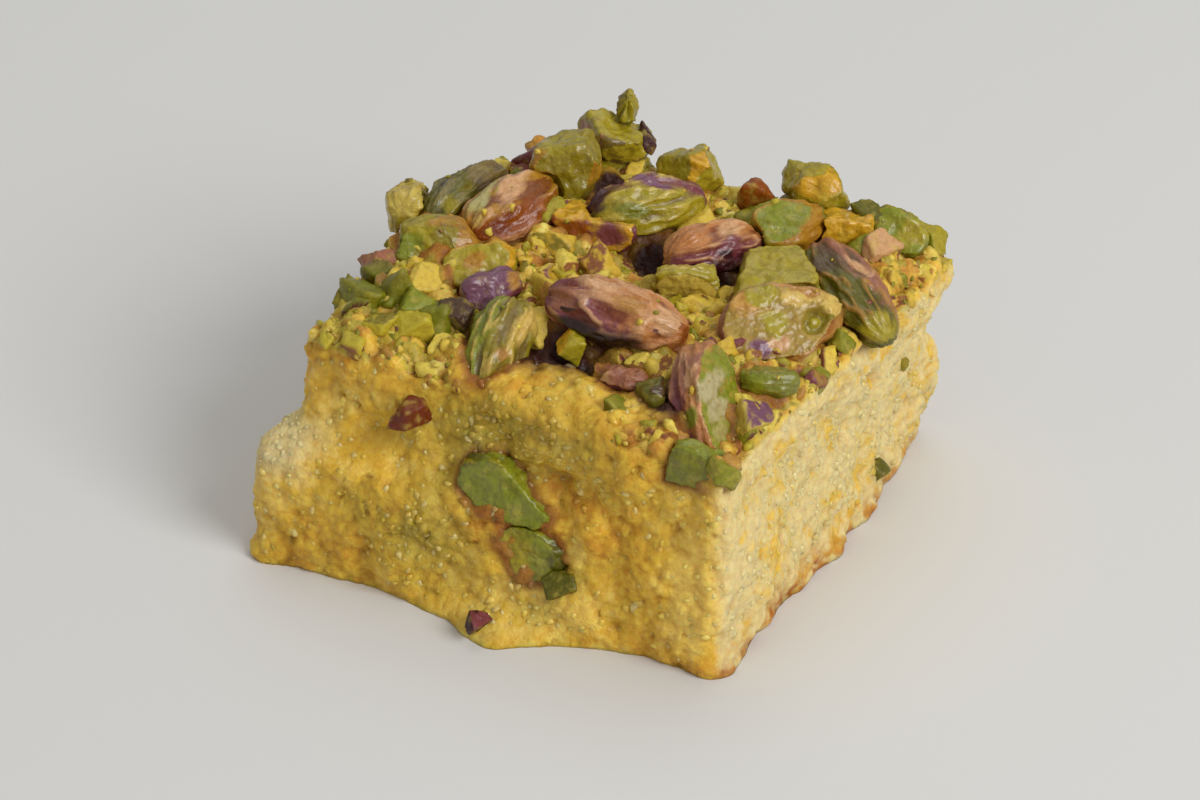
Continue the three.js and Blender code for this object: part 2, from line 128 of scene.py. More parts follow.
class CrumbProperties(bpy.types.PropertyGroup):
    cell: length_property("Cell", "Spacing of the crumb's mesh", 0.3)
    clump: length_property("Clump", "Width of the clumps that the crumb has broken into", 3.4)
    clump_depth: length_property("Clump depth", "How far the clumps stand out", 0.5)
    cluster: length_property("Cluster", "Width of the clusters of grains in a clump", 1.7)
    cluster_depth: length_property("Cluster depth", "How far the clusters stand out", 0.36)
    bead: length_property("Bead", "Width of the single grains that show in the crumb", 0.95)
    bead_depth: length_property("Bead depth", "How far the single grains stand out", 0.26)
    pit_depth: length_property("Pit depth", "How deep the few pits go", 0.4)
    pale: colour_property("Pale crumb", "Crumb that the syrup hasn't reached", 0xE2CC8E)
    # The light golden crumb is also the colour of the painted light on the right edge of the front.
    light: colour_property("Light golden crumb", "Crumb that has taken up a little syrup", 0xF2CE62)
    golden: colour_property("Golden crumb", "Crumb soaked in syrup", 0xE8BC3E)
    amber: colour_property("Amber crumb", "Crumb where syrup has gathered", 0xDAA02A)
    olive: colour_property("Olive crumb", "Crumb that the nuts have coloured", 0xA89630)
    toasted: colour_property("Toasted crumb", "The baked skin along the foot and below the topping", 0xB06A1A)
    # The seam colour is partly the red-brown of syrup round each pistachio and partly painted contact shade.
    seam: colour_property("Seam", "Crumb that syrup has darkened where it meets a pistachio", 0x7E3A14)
    lump: length_property("Lump", "Width of the lumps of the paste of syrup and nuts on the top", 2.6)
    lump_depth: length_property("Lump depth", "How far the lumps of the paste stand out", 1.3)


class SemolinaProperties(bpy.types.PropertyGroup):
    smallest: length_property("Smallest", "Width of the smallest grains", 0.7)
    largest: length_property("Largest", "Width of the largest grains", 1.35)
    spacing: length_property("Spacing", "How close two grains may lie", 0.75)


class PistachioProperties(bpy.types.PropertyGroup):
    cell: length_property("Cell", "Spacing of a pistachio's mesh", 0.2)
    wrinkle: length_property("Wrinkle", "How far the wrinkles of the skin stand out", 0.36)
    swell: length_property("Swell", "How uneven a kernel's form is", 0.3)


class ChoppedProperties(bpy.types.PropertyGroup):
    count: count_property("Count", "Places for large chopped pieces on the top", 96)
    smallest: length_property("Smallest", "Width of the smallest large piece", 2.5)
    largest: length_property("Largest", "Width of the largest large piece", 4.8)
    middling_spacing: length_property("Middling spacing", "How close two middling pieces may lie", 3.0)
    crumb_spacing: length_property("Crumb spacing", "How close two small pieces may lie", 1.8)
    stuck_spacing: length_property("Stuck spacing", "How close two bits stuck to a kernel may lie", 1.9)
    ground_spacing: length_property("Ground spacing", "How close two ground pieces may lie", 1.1)


class StudioProperties(bpy.types.PropertyGroup):
    lens: FloatProperty(name="Lens", description="Focal length of the camera in mm", default=180, min=1)
    floor: colour_property("Floor", "The pale floor", 0xDAD9D6)
    air: colour_property("Air", "The light from all round", 0xF4F5F6)
    key: FloatProperty(name="Key", description="Power of the large light, in watts", default=8.2, min=0)
    fill: FloatProperty(name="Fill", description="Strength of the light from all round", default=0.42, min=0)


# Repeatable numbers and smooth fields. A number added to the points gives another field of the same kind.

WAVE_I, WAVE_J, WAVE_K = 127.1, 311.7, 74.7
WAVE_HEIGHT = 43758.5453
DOME_REACH = 0.75


def draw(i, j, k):
    """A repeatable number from 0 to 1 for three whole numbers."""
    wave = np.sin(i * WAVE_I + j * WAVE_J + k * WAVE_K) * WAVE_HEIGHT
    return wave - np.floor(wave)


def ease(share):
    return share * share * (3 - 2 * share)


def step(value, low, high):
    """0 below low, 1 above high and smooth between."""
    return ease(np.clip((value - low) / (high - low), 0, 1))


def bumps(points):
    """Smooth bumps from -1 to 1, one unit apart."""
    base = np.floor(points)
    share = ease(points - base)
    total = 0
    for corner in range(8):
        turn = np.array((corner & 1, corner >> 1 & 1, corner >> 2 & 1))
        weight = np.prod(np.where(turn, share, 1 - share), axis=-1)
        total = total + weight * draw(*(base + turn).T)
    return 2 * total - 1


def domes(points):
    """Rounded cells one unit apart: 1 at the middle of each, 0 or less between them, and a tone for each."""
    base = np.floor(points)
    nearest = np.full(len(points), 9.0)
    tone = np.zeros(len(points))
    for corner in range(27):
        cell = base + np.array((corner % 3 - 1, corner // 3 % 3 - 1, corner // 9 - 1))
        i, j, k = cell.T
        seed = cell + np.stack((draw(i, j, k), draw(i, j, k + 57), draw(i, j, k + 113)), axis=-1)
        distance = np.linalg.norm(points - seed, axis=-1)
        closer = distance < nearest
        nearest = np.where(closer, distance, nearest)
        tone = np.where(closer, draw(i, j, k + 211), tone)
    return 1 - (nearest / DOME_REACH) ** 2, tone


def cloud(points, octaves=3):
    """Fractal noise from about -1 to 1, one unit apart."""
    return np.array([noise.fractal(p, 1.0, 2.0, octaves) for p in points.tolist()])


def hill(points, at, reach):
    """1 at a place, falling off smoothly over its reach."""
    return np.exp(-np.sum(((points - np.array(at)) / np.array(reach)) ** 2, axis=-1))


# The block's own form.


def relief(points):
    """How far the crumb's skin stands out, in millimetres."""
    shifted = points / CRUMB_SIZE + np.array((0, 0, 40))
    height = bumps(points / CRAG_SIZE) * CRAG_DEPTH + bumps(shifted) * CRUMB_DEPTH
    for at, reach, rise in LUMPS:
        height = height + rise * hill(points, at, reach)
    return height


def block_points(a, b, t):
    """Points of the cut block: a and b run from -1 to 1 across and along it, t from 0 at the foot to 1."""
    points = np.zeros((len(a), 3))
    for corner in CORNERS:
        weight = (1 + a * corner["side"]) * (1 + b * corner["depth"]) / 4
        stepped = step(t, corner["ledge"] - LEDGE_REACH, corner["ledge"] + LEDGE_REACH)
        lean = t + (stepped - t) * LEDGE_SHARE
        foot, shoulder = np.array(corner["foot"]), np.array(corner["shoulder"])
        points[:, :2] += weight[:, None] * (foot + (shoulder - foot) * lean[:, None])
        points[:, 2] += weight * corner["height"] * t
    return points


def skin_points(a, b, t, out):
    """Points of the crumb's skin, moved out by the relief and, on top, by the bed of nuts."""
    points = block_points(a, b, t)
    bed = BED_HEIGHT * (1 - np.maximum(abs(a), abs(b)) ** 4) * np.maximum(out[:, 2], 0)
    return points + out * (relief(points) + bed)[:, None]


def lattice_sheet(counts, fixed, value, first, second):
    """Quads of lattice points on one face of the block: first crossed with second points outwards."""
    u, v = np.meshgrid(np.arange(counts[first] + 1), np.arange(counts[second] + 1), indexing="ij")
    points = np.empty(u.shape + (3,), int)
    points[..., fixed] = value
    points[..., first] = u
    points[..., second] = v
    corners = (points[:-1, :-1], points[1:, :-1], points[1:, 1:], points[:-1, 1:])
    return np.stack(corners, axis=2).reshape(-1, 4, 3)


def lattice_foot(counts):
    """The lattice points round the foot, clockwise from above."""
    across, along = counts[0], counts[1]
    ring = [(i, 0, 0) for i in range(across)]
    ring += [(across, j, 0) for j in range(along)]
    ring += [(i, along, 0) for i in range(across, 0, -1)]
    ring += [(0, j, 0) for j in range(along, 0, -1)]
    return np.array(ring[::-1])


def lattice_keys(points, counts):
    return (points[..., 0] * (counts[1] + 1) + points[..., 1]) * (counts[2] + 1) + points[..., 2]


def block_lattice(counts):
    """Lattice points on the block, the quads of its top and sides, and the face of its foot."""
    sheets = np.concatenate((
        lattice_sheet(counts, 2, counts[2], 0, 1),
        lattice_sheet(counts, 1, 0, 0, 2),
        lattice_sheet(counts, 0, counts[0], 1, 2),
        lattice_sheet(counts, 1, counts[1], 2, 0),
        lattice_sheet(counts, 0, 0, 2, 1),
    ))
    keys, first, places = np.unique(
        lattice_keys(sheets, counts).ravel(), return_index=True, return_inverse=True
    )
    points = sheets.reshape(-1, 3)[first]
    foot = np.searchsorted(keys, lattice_keys(lattice_foot(counts), counts))
    faces = places.reshape(-1, 4).tolist()
    faces.append(foot.tolist())
    return points, faces


def rounded_block(lattice, counts):
    """Where each lattice point stands on the rounded block, as a, b and t, and which way is out there."""
    box = (lattice / counts * 2 - 1) * BLOCK_HALF
    low = np.array((EDGE_RADIUS, EDGE_RADIUS, 0)) - BLOCK_HALF
    core = np.clip(box, low, BLOCK_HALF - EDGE_RADIUS)
    out = box - core
    out /= np.linalg.norm(out, axis=1)[:, None]
    a, b, t = ((core + out * EDGE_RADIUS) / BLOCK_HALF).T
    return a, b, (t + 1) / 2, out


# Mesh and object helpers.


def new_object(name, mesh):
    thing = bpy.data.objects.new(name, mesh)
    bpy.context.scene.collection.objects.link(thing)
    return thing


def smooth_mesh(name, points, faces):
    """A smooth-shaded mesh from points in millimetres."""
    mesh = bpy.data.meshes.new(name)
    mesh.from_pydata((points * MM).tolist(), [], faces)
    mesh.shade_smooth()
    return mesh


def vectors_of(mesh, title):
    """One vector for each of a mesh's points: its place or its normal."""
    flat = np.empty(len(mesh.vertices) * 3, np.float32)
    mesh.vertices.foreach_get(title, flat)
    return flat.reshape(-1, 3).astype(float)


def points_of(mesh):
    """A mesh's points in millimetres."""
    return vectors_of(mesh, "co") / MM


def move_points(mesh, points):
    """Puts a mesh's points at new places, in millimetres."""
    mesh.vertices.foreach_set("co", (points * MM).astype(np.float32).ravel())
    mesh.update()


def paint(mesh, name, values, kind="FLOAT", field="value"):
    """Keeps a number, a vector or a colour for each point of a mesh, which its material reads."""
    layer = mesh.attributes.new(name, kind, "POINT")
    layer.data.foreach_set(field, np.asarray(values, np.float32).ravel())


def paint_colour(mesh, name, values):
    paint(mesh, name, values, "FLOAT_COLOR", "color")


def joined(shapes):
    """The points and faces of several shapes as those of one."""
    points, faces, count = [], [], 0
    for shape_points, shape_faces in shapes:
        points.append(shape_points)
        faces += [[count + corner for corner in face] for face in shape_faces]
        count += len(shape_points)
    return np.concatenate(points), faces


def evaluated_mesh(thing, name):
    """The mesh that an object's modifiers make, as plain data."""
    graph = bpy.context.evaluated_depsgraph_get()
    mesh = bpy.data.meshes.new_from_object(thing.evaluated_get(graph), depsgraph=graph)
    mesh.name = name
    return mesh


def finish_piece(name, mesh, material, replaced=()):
    """A finished piece on the cake's one body."""
    mesh.materials.clear()
    mesh.materials.append(material)
    mesh.shade_smooth()
    piece = new_object(name, mesh)
    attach(piece, "root")
    if replaced:
        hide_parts(*replaced)


# Shader helpers.

COLOUR, NUMBER = "NodeSocketColor", "NodeSocketFloat"


def put(tree, kind, inputs=None, output=0, **settings):
    """Adds a node, links or sets its inputs and gives back one output."""
    node = tree.nodes.new(kind)
    for setting, value in settings.items():
        setattr(node, setting, value)
    for key, value in (inputs or {}).items():
        socket = node.inputs[key]
        if isinstance(value, bpy.types.NodeSocket):
            tree.links.new(value, socket)
        elif socket.type == "RGBA":
            socket.default_value = (*value[:3], 1)
        else:
            socket.default_value = value
    return node.outputs[output]


def mixed(tree, share, first, second, blend="MIX"):
    """A colour between two colours. In a Mix node, 6 and 7 are the colours in and 2 is the colour out."""
    inputs = {0: share, 6: first, 7: second}
    return put(tree, "ShaderNodeMix", inputs, 2, data_type="RGBA", blend_type=blend)


def shaded(tree, colour, shade):
    return mixed(tree, 1.0, colour, shade, "MULTIPLY")


def sums(tree, operation, first, second=0.0):
    return put(tree, "ShaderNodeMath", {0: first, 1: second}, operation=operation)


def times(tree, first, second):
    return sums(tree, "MULTIPLY", first, second)


def minus(tree, first, second):
    return sums(tree, "SUBTRACT", first, second)


def scaled_sum(tree, value, scale, added):
    """A value times a scale, plus another value."""
    return put(tree, "ShaderNodeMath", {0: value, 1: scale, 2: added}, operation="MULTIPLY_ADD")


def band(tree, value, low, high):
    """0 where a value is below low, 1 where it is above high and smooth between."""
    inputs = {"Value": value, "From Min": low, "From Max": high}
    return put(tree, "ShaderNodeMapRange", inputs, interpolation_type="SMOOTHSTEP")


def attribute(tree, name, output="Fac"):
    return put(tree, "ShaderNodeAttribute", output=output, attribute_name=name)


def grainy(tree, place, size, detail=2.0, roughness=0.5):
    """Noise whose patches are size metres wide."""
    inputs = {"Vector": place, "Scale": 1 / size, "Detail": detail, "Roughness": roughness}
    return put(tree, "ShaderNodeTexNoise", inputs)


def cells(tree, place, size, feature="F1", output="Distance"):
    inputs = {"Vector": place, "Scale": 1 / size}
    return put(tree, "ShaderNodeTexVoronoi", inputs, output, feature=feature)


def cell_tone(tree, place, size):
    """A number from 0 to 1 for each cell."""
    return put(tree, "ShaderNodeSeparateColor", {"Color": cells(tree, place, size, output="Color")})


def tone_ramp(tree, value, tones):
    """A band of colours with one stop for each tone."""
    colour = put(tree, "ShaderNodeValToRGB", {"Fac": value})
    ramp = colour.node.color_ramp
    ramp.interpolation = "CONSTANT"
    while len(ramp.elements) < len(tones):
        ramp.elements.new(0.5)
    for stop, (position, code) in zip(ramp.elements, tones):
        stop.position = position
        stop.color = (*srgb(code), 1)
    return colour


def object_place(tree):
    return put(tree, "ShaderNodeTexCoord", output="Object")


# How far a stirred place shifts, and how wide the patches are that shift together.
STIR_DISTANCE, STIR_SIZE = 0.5 * MM, 0.8 * MM


def stirred_place(tree):
    """The place on the object, shifted a little, so that cells there have uneven edges."""
    place = object_place(tree)
    inputs = {"Vector": place, "Scale": 1 / STIR_SIZE, "Detail": 2.0}
    shift = put(tree, "ShaderNodeTexNoise", inputs, "Color")
    shift = put(tree, "ShaderNodeVectorMath", {0: shift, 1: (0.5, 0.5, 0.5)}, operation="SUBTRACT")
    shift = put(tree, "ShaderNodeVectorMath", {0: shift, "Scale": 2 * STIR_DISTANCE}, operation="SCALE")
    return put(tree, "ShaderNodeVectorMath", {0: place, 1: shift}, operation="ADD")


def new_group(name, inputs, outputs):
    """A shader node group with named sockets: its tree, its inputs by name and its output node.

    Each input comes with its first value, three numbers for a colour, and each output with its kind.
    """
    tree = bpy.data.node_groups.new(name, "ShaderNodeTree")
    for title, value in inputs.items():
        kind = COLOUR if isinstance(value, tuple) else NUMBER
        socket = tree.interface.new_socket(title, in_out="INPUT", socket_type=kind)
        socket.default_value = (*value, 1) if kind == COLOUR else value
    for title, kind in outputs.items():
        tree.interface.new_socket(title, in_out="OUTPUT", socket_type=kind)
    entry = tree.nodes.new("NodeGroupInput")
    leave = tree.nodes.new("NodeGroupOutput")
    return tree, {title: entry.outputs[title] for title in inputs}, leave


def use_group(tree, group, values):
    node = tree.nodes.new("ShaderNodeGroup")
    node.node_tree = group
    for title, value in values.items():
        socket = node.inputs[title]
        if isinstance(value, bpy.types.NodeSocket):
            tree.links.new(value, socket)
        else:
            socket.default_value = (*value[:3], 1) if socket.type == "RGBA" else value
    return node.outputs


def new_material(name, gloss=0.32):
    """An empty material and its Principled shader."""
    material = bpy.data.materials.new(name)
    material.use_nodes = True
    shader = material.node_tree.nodes["Principled BSDF"]
    shader.inputs["Specular IOR Level"].default_value = gloss
    return material, material.node_tree, shader


def set_translucent(shader, weight, radius, scale):
    """How far light goes under the surface: radius is for red, green and blue, scale is in metres."""
    shader.subsurface_method = "RANDOM_WALK"
    shader.inputs["Subsurface Weight"].default_value = weight
    shader.inputs["Subsurface Radius"].default_value = radius
    shader.inputs["Subsurface Scale"].default_value = scale


def add_bump(tree, shader, height, distance, strength=1.0):
    """Relief too fine for the mesh: height from 0 to 1 stands distance metres out."""
    inputs = {"Height": height, "Distance": distance, "Strength": strength}
    tree.links.new(put(tree, "ShaderNodeBump", inputs), shader.inputs["Normal"])


def syrup_group():
    """Where syrup lies: it makes the surface wet in patches."""
    if "Syrup" in bpy.data.node_groups:
        return bpy.data.node_groups["Syrup"]
    tree, given, leave = new_group(
        "Syrup",
        {"Wet Share": 0.5, "Patch Size": 3 * MM, "Dry Roughness": 0.6, "Wet Roughness": 0.25},
        {"Wetness": NUMBER, "Roughness": NUMBER},
    )
    scale = sums(tree, "DIVIDE", 1.0, given["Patch Size"])
    patches = put(tree, "ShaderNodeTexNoise", {"Vector": object_place(tree), "Scale": scale, "Detail": 3.0})
    shifted = sums(tree, "ADD", patches, minus(tree, given["Wet Share"], 0.5))
    wet = band(tree, shifted, 0.35, 0.65)
    inputs = {0: wet, 2: given["Dry Roughness"], 3: given["Wet Roughness"]}
    tree.links.new(wet, leave.inputs["Wetness"])
    tree.links.new(put(tree, "ShaderNodeMix", inputs), leave.inputs["Roughness"])
    return tree


def add_syrup(tree, shader, share, dry, wet):
    """Makes a share of a surface wet, and sets how rough it is where dry and wet. Gives back its wetness."""
    values = {"Wet Share": share, "Dry Roughness": dry, "Wet Roughness": wet}
    syrup = use_group(tree, syrup_group(), values)
    tree.links.new(syrup["Roughness"], shader.inputs["Roughness"])
    return syrup["Wetness"]


def mottle_group():
    """Small darker blotches over a colour."""
    if "Mottle" in bpy.data.node_groups:
        return bpy.data.node_groups["Mottle"]
    tree, given, leave = new_group(
        "Mottle",
        {"Color": (0.8, 0.8, 0.8), "Shade": (0.6, 0.5, 0.4), "Blotch Size": 0.5 * MM, "Share": 0.5},
        {"Color": COLOUR},
    )
    scale = sums(tree, "DIVIDE", 1.0, given["Blotch Size"])
    inputs = {"Vector": object_place(tree), "Scale": scale, "Detail": 4.0, "Roughness": 0.65}
    blotches = band(tree, put(tree, "ShaderNodeTexNoise", inputs), 0.42, 0.66)
    share = times(tree, blotches, given["Share"])
    darker = shaded(tree, given["Color"], given["Shade"])
    tree.links.new(mixed(tree, share, given["Color"], darker), leave.inputs["Color"])
    return tree


def add_mottled(tree, shader, colour, shade, size, share):
    """Gives a shader a colour with darker blotches of a size, in metres, over a share of it."""
    values = {"Color": colour, "Shade": shade, "Blotch Size": size, "Share": share}
    tree.links.new(use_group(tree, mottle_group(), values)["Color"], shader.inputs["Base Color"])


# The crumb.

# The strip of the top that no nuts cover.
BARE_AT, BARE_REACH = np.array((5, -19.5)), np.array((12, 6))

# The dry ledge at the left: place, reach and how dry.
LEDGE = ((-26.4, -23, 14.6), (5.6, 7, 3.4))
LEDGE_DRYNESS = 1.4

# Syrup and baking have coloured the crumb in places, and one entry is painted light: place, reach, and what
# each adds to how soaked, how toasted and how olive it is there.
TINTS = {
    "below the topping at the left": ((-20, -22, 26), (8, 6, 3.5), 0.45, 0.35, 0.0),
    "ledge at the left": (*LEDGE, -1.35, 0.0, 0.0),
    "left end of the front": ((-27, -25, 6), (3, 6, 6), -0.4, 0.0, 0.0),
    "middle of the front": ((-3, -24, 19), (8, 6, 4), -0.35, 0.0, 0.6),
    "upper part of the front": ((4, -22, 23), (16, 6, 3.4), 0.15, 0.15, 0.5),
    # Painted light: the right edge of the front made paler, where its rounded edge catches the light.
    "painted light on the right edge of the front": ((24, -26, 10), (4, 5, 9), -0.6, -0.1, -0.1),
    "low in the middle of the front": ((-9, -26, 8), (9, 5, 6), -0.1, 0.0, 0.65),
    "right of the front pistachios": ((9, -25, 13), (2.5, 4, 2.5), 0.3, 0.35, 0.0),
    "low at the right of the front": ((17, -26, 4), (10, 6, 6), 0.05, 0.1, 0.0),
    "low at the left of the front": ((-20, -26, 4), (9, 5, 5), 0.35, 0.1, 0.0),
    "below kernel_red": ((1.5, -13, 27), (8, 3, 4), 0.4, 0.7, 0.0),
    "between the front pistachios": ((3, -25, 11.6), (6, 4, 1.6), 0.4, 0.8, 0.0),
    "over the front pistachios": ((6, -25, 17), (4.5, 4, 1.6), 0.4, 0.7, 0.0),
    "flake at the right of the front pistachios": ((9.6, -25, 10.5), (1.1, 4, 3.2), -0.9, -0.5, 0.1),
    "loose crumb below the front pistachios": ((8.4, -27, 3.6), (3.4, 5, 1.8), -0.9, -0.2, 0.1),
    "loose crumb at the foot": ((2.6, -29.4, 3), (4, 4, 2.2), -0.5, -0.2, 0.3),
    "foot of the right side": ((27, -6, 1), (6, 20, 2.6), 0.2, 0.6, 0.0),
}

# Where dry semolina grains lie close together: place, reach and share.
GRAINY = {
    "top of the front": ((1, -24, 21), (9, 5, 4.5), 1.0),
    "loose crumb at the foot": ((5, -28, 3), (6, 4, 3), 0.9),
    "ledge at the left": ((-27, -24, 14), (5, 7, 4), 0.8),
    "low in the front": ((-9, -26, 8), (8, 5, 6), 0.7),
    "right side": ((29, 0, 13), (6, 20, 9), 0.6),
    "back": ((0, 26, 12), (16, 6, 9), 0.6),
    "left side": ((-25, 6, 12), (7, 14, 8), 0.6),
}


# The colours of the paste of syrup and ground nuts, lump by lump.
PASTE_TONES = (
    (0.0, 0xECC658), (0.22, 0xD0BA44), (0.4, 0xF0D870), (0.58, 0xE2B848),
    (0.74, 0xB4A23C), (0.86, 0xD0983C), (0.95, 0x8A522A),
)

# Where the topping lies thin and lets the end of a kernel show: place and reach.
THIN = (
    ((22.8, -21.2, 25.4), (2.8, 2.8, 3)),
    ((20.6, -23, 24), (2.6, 2, 2.4)),
)
THIN_DEPTH = 1.5

# Where the topping has fallen away under a kernel, with painted shade darkening the crumb there: place and
# reach.
SHADED_HOLLOWS = (
    ((0.5, -13.2, 26.6), (7.5, 3, 4)),
    ((4.4, 7.4, 26.8), (3.4, 2.8, 4)),
    ((12, 4.4, 26.8), (2.8, 2.4, 4)),
    ((-4.6, 16.6, 27.6), (2.6, 2.6, 3)),
    ((16.6, -17.6, 26), (2, 2, 2.6)),
    ((21.4, 10.6, 27), (2, 2, 3)),
)
HOLLOW_SHADE_STRENGTH = 1.7

# The greener heap at the front left of the topping: place and reach.
HEAP = ((-18, -12, 27), (8, 5, 5))
HEAP_STRENGTH = 1.4

# Round each pistachio the crumb is darker, partly from syrup and partly as painted contact shade: how wide
# in millimetres, and how much.
SEAM_AND_SHADE_WIDTH = 1.1
SEAM_AND_SHADE_DEPTH = 0.8

# The crumb's colour varies in patches, from grain to grain and in specks: how wide each is, and how much it
# changes how soaked the crumb looks.
PATCH_SIZE, PATCH_CHANGE = 2.4 * MM, 1.9
GRAIN_SIZE, GRAIN_CHANGE = 1.3 * MM, 0.3
SPECK_SIZE, SPECK_CHANGE = 0.55 * MM, 0.22
LEAST_SOAKED = 0.47

CRUMB_COLOURS = ("pale", "light", "golden", "amber", "olive", "toasted", "seam")
SEAM_BETWEEN_GRAINS = (0.75, 0.5, 0.2)
CAVITY_SHADE = (0.66, 0.48, 0.26)
HOLLOW_SHADE_COLOUR = srgb(0x3A1810)


def crumb_group():
    """The crumb's colour, by how soaked, dry, toasted, olive and nutty it is at a place, with painted shade
    where it is hollow.
    """
    if "Soaked Crumb" in bpy.data.node_groups:
        return bpy.data.node_groups["Soaked Crumb"]
    inputs = {name.title(): (0.8, 0.6, 0.2) for name in CRUMB_COLOURS}
    tree, given, leave = new_group("Soaked Crumb", inputs, {"Color": COLOUR})
    patches = grainy(tree, object_place(tree), PATCH_SIZE, 3.0, 0.55)
    stirred = stirred_place(tree)
    varied = scaled_sum(tree, minus(tree, patches, 0.5), PATCH_CHANGE, attribute(tree, "soak"))
    varied = scaled_sum(tree, cell_tone(tree, stirred, GRAIN_SIZE), GRAIN_CHANGE, varied)
    varied = scaled_sum(tree, cell_tone(tree, stirred, SPECK_SIZE), SPECK_CHANGE, varied)
    varied = sums(tree, "ADD", varied, LEAST_SOAKED)
    lightest = mixed(tree, attribute(tree, "dry"), given["Light"], given["Pale"])
    colour = mixed(tree, band(tree, varied, 0.65, 1.3), lightest, given["Golden"])
    colour = mixed(tree, band(tree, varied, 1.3, 1.85), colour, given["Amber"])
    colour = mixed(tree, attribute(tree, "green"), colour, given["Olive"])
    toast = times(tree, attribute(tree, "toast"), band(tree, patches, 0.35, 0.6))
    colour = mixed(tree, toast, colour, given["Toasted"])
    tones = tone_ramp(tree, attribute(tree, "lump"), PASTE_TONES)
    paste = mixed(tree, band(tree, patches, 0.5, 0.75), tones, given["Golden"])
    colour = mixed(tree, attribute(tree, "topping"), colour, paste)
    edge = cells(tree, stirred, GRAIN_SIZE, feature="DISTANCE_TO_EDGE")
    edge = times(tree, band(tree, times(tree, edge, -1.0), -0.2, 0.0), 0.22)
    colour = mixed(tree, edge, colour, shaded(tree, colour, SEAM_BETWEEN_GRAINS))
    # Painted shade in the crumb's cavities and between the lumps of paste.
    colour = mixed(tree, attribute(tree, "cavity"), colour, shaded(tree, colour, CAVITY_SHADE))
    # The seam round each pistachio: partly syrup, partly painted contact shade.
    colour = mixed(tree, attribute(tree, "seam"), colour, given["Seam"])
    # Painted shade in the hollows under the kernels.
    tree.links.new(mixed(tree, attribute(tree, "hollow"), colour, HOLLOW_SHADE_COLOUR), leave.inputs["Color"])
    return tree


def crumb_colour(tree, settings):
    values = {name.title(): getattr(settings, name) for name in CRUMB_COLOURS}
    return use_group(tree, crumb_group(), values)["Color"]


def crumb_material(settings):
    material, tree, shader = new_material("soaked crumb")
    tree.links.new(crumb_colour(tree, settings), shader.inputs["Base Color"])
    add_syrup(tree, shader, 0.5, 0.62, 0.3)
    stirred = stirred_place(tree)
    bead = minus(tree, 1.0, cells(tree, stirred, SPECK_SIZE))
    height = scaled_sum(tree, minus(tree, 1.0, cells(tree, stirred, GRAIN_SIZE)), 0.9, bead)
    height = scaled_sum(tree, grainy(tree, object_place(tree), 0.3 * MM, 4.0, 0.6), 0.9, height)
    add_bump(tree, shader, height, 0.12 * MM, 0.8)
    set_translucent(shader, 0.55, (1.0, 0.62, 0.24), 2.2 * MM)
    return material


def bare_distance(points):
    """How far each point is from the middle of the bare strip: 1 at the strip's edge."""
    return np.linalg.norm((points[:, :2] - BARE_AT) / BARE_REACH, axis=1)


def bare_share(points):
    """1 on the strip of the top that no nuts cover, falling to 0 round it."""
    return 1 - step(bare_distance(points), 0.75, 1.1)


def thin_share(points):
    """How thin the topping lies at a place, from 0 to 1."""
    return np.clip(sum(hill(points, at, reach) for at, reach in THIN), 0, 1)


def heap_share(points):
    """How much a place belongs to the greener heap at the front left of the topping."""
    return np.clip(HEAP_STRENGTH * hill(points, *HEAP), 0, 1)


def crumb_relief(points, top, settings):
    """Relief finer than the frame's: clumps, clusters, a few pits, and lumps of paste on the top.

    Also how hollow each point is, which the crumb's colour darkens as painted shade, and the tone of its
    lump.
    """
    clump, _ = domes(points / (settings.clump / MM))
    cluster, _ = domes(points / (settings.cluster / MM) + 31)
    beads, _ = domes(points / (settings.bead / MM) + 57)
    pits = step(cloud(points / 2.2 + 7, 3), 0.5, 0.8) * (1 - top)
    side = settings.clump_depth / MM * (clump - 0.4) + settings.cluster_depth / MM * (cluster - 0.4)
    side += settings.bead_depth / MM * (beads - 0.4) - settings.pit_depth / MM * pits
    thin = thin_share(points)
    lump, tone = domes(points / (settings.lump / MM) + 11)
    crumbs, small_tone = domes(points / (settings.lump / MM * 0.5) + 5)
    paste = settings.lump_depth / MM * (lump - 0.25 + 0.4 * (crumbs - 0.4))
    cavity_shade_side = 0.25 - 0.3 * clump - 0.3 * cluster - 0.2 * beads + 0.5 * pits
    cavity_shade_top = 0.9 - 1.2 * lump - 0.4 * crumbs
    height = side + (paste - side) * top - THIN_DEPTH * thin
    hollow = np.clip(cavity_shade_side + (cavity_shade_top - cavity_shade_side) * top, 0, 1)
    return height, hollow, np.where(small_tone > 0.6, small_tone, tone)


def crumb_tints(mesh, points, out, cavity):
    """How soaked, dry, toasted and olive the crumb is at each point, and how hollow, for painted shade."""
    soak = 0.5 + 0.4 * cloud(points / 9 + 3, 2)
    soak -= 0.5 * step(out[:, 0], 0.3, 0.9)
    edge = 1.3 + 0.9 * cloud(points / 2.2 + 15, 2)
    toast = 0.6 * (1 - step(points[:, 2], 0.4 * edge, 1.6 * edge)) * (0.35 + 0.65 * step(out[:, 0], 0.2, 0.8))
    green = np.zeros(len(points))
    for at, reach, wetter, browner, greener in TINTS.values():
        share = hill(points, at, reach)
        soak += wetter * share
        toast += browner * share
        green += greener * share
    ledge = hill(points, *LEDGE)
    paint(mesh, "dry", np.clip(step(out[:, 0], 0.3, 0.9) + LEDGE_DRYNESS * ledge, 0, 1))
    paint(mesh, "soak", soak)
    paint(mesh, "toast", np.clip(toast, 0, 1))
    paint(mesh, "green", np.clip(green + 0.25 * cloud(points / 4 + 33, 2), 0, 1))
    paint(mesh, "cavity", cavity)


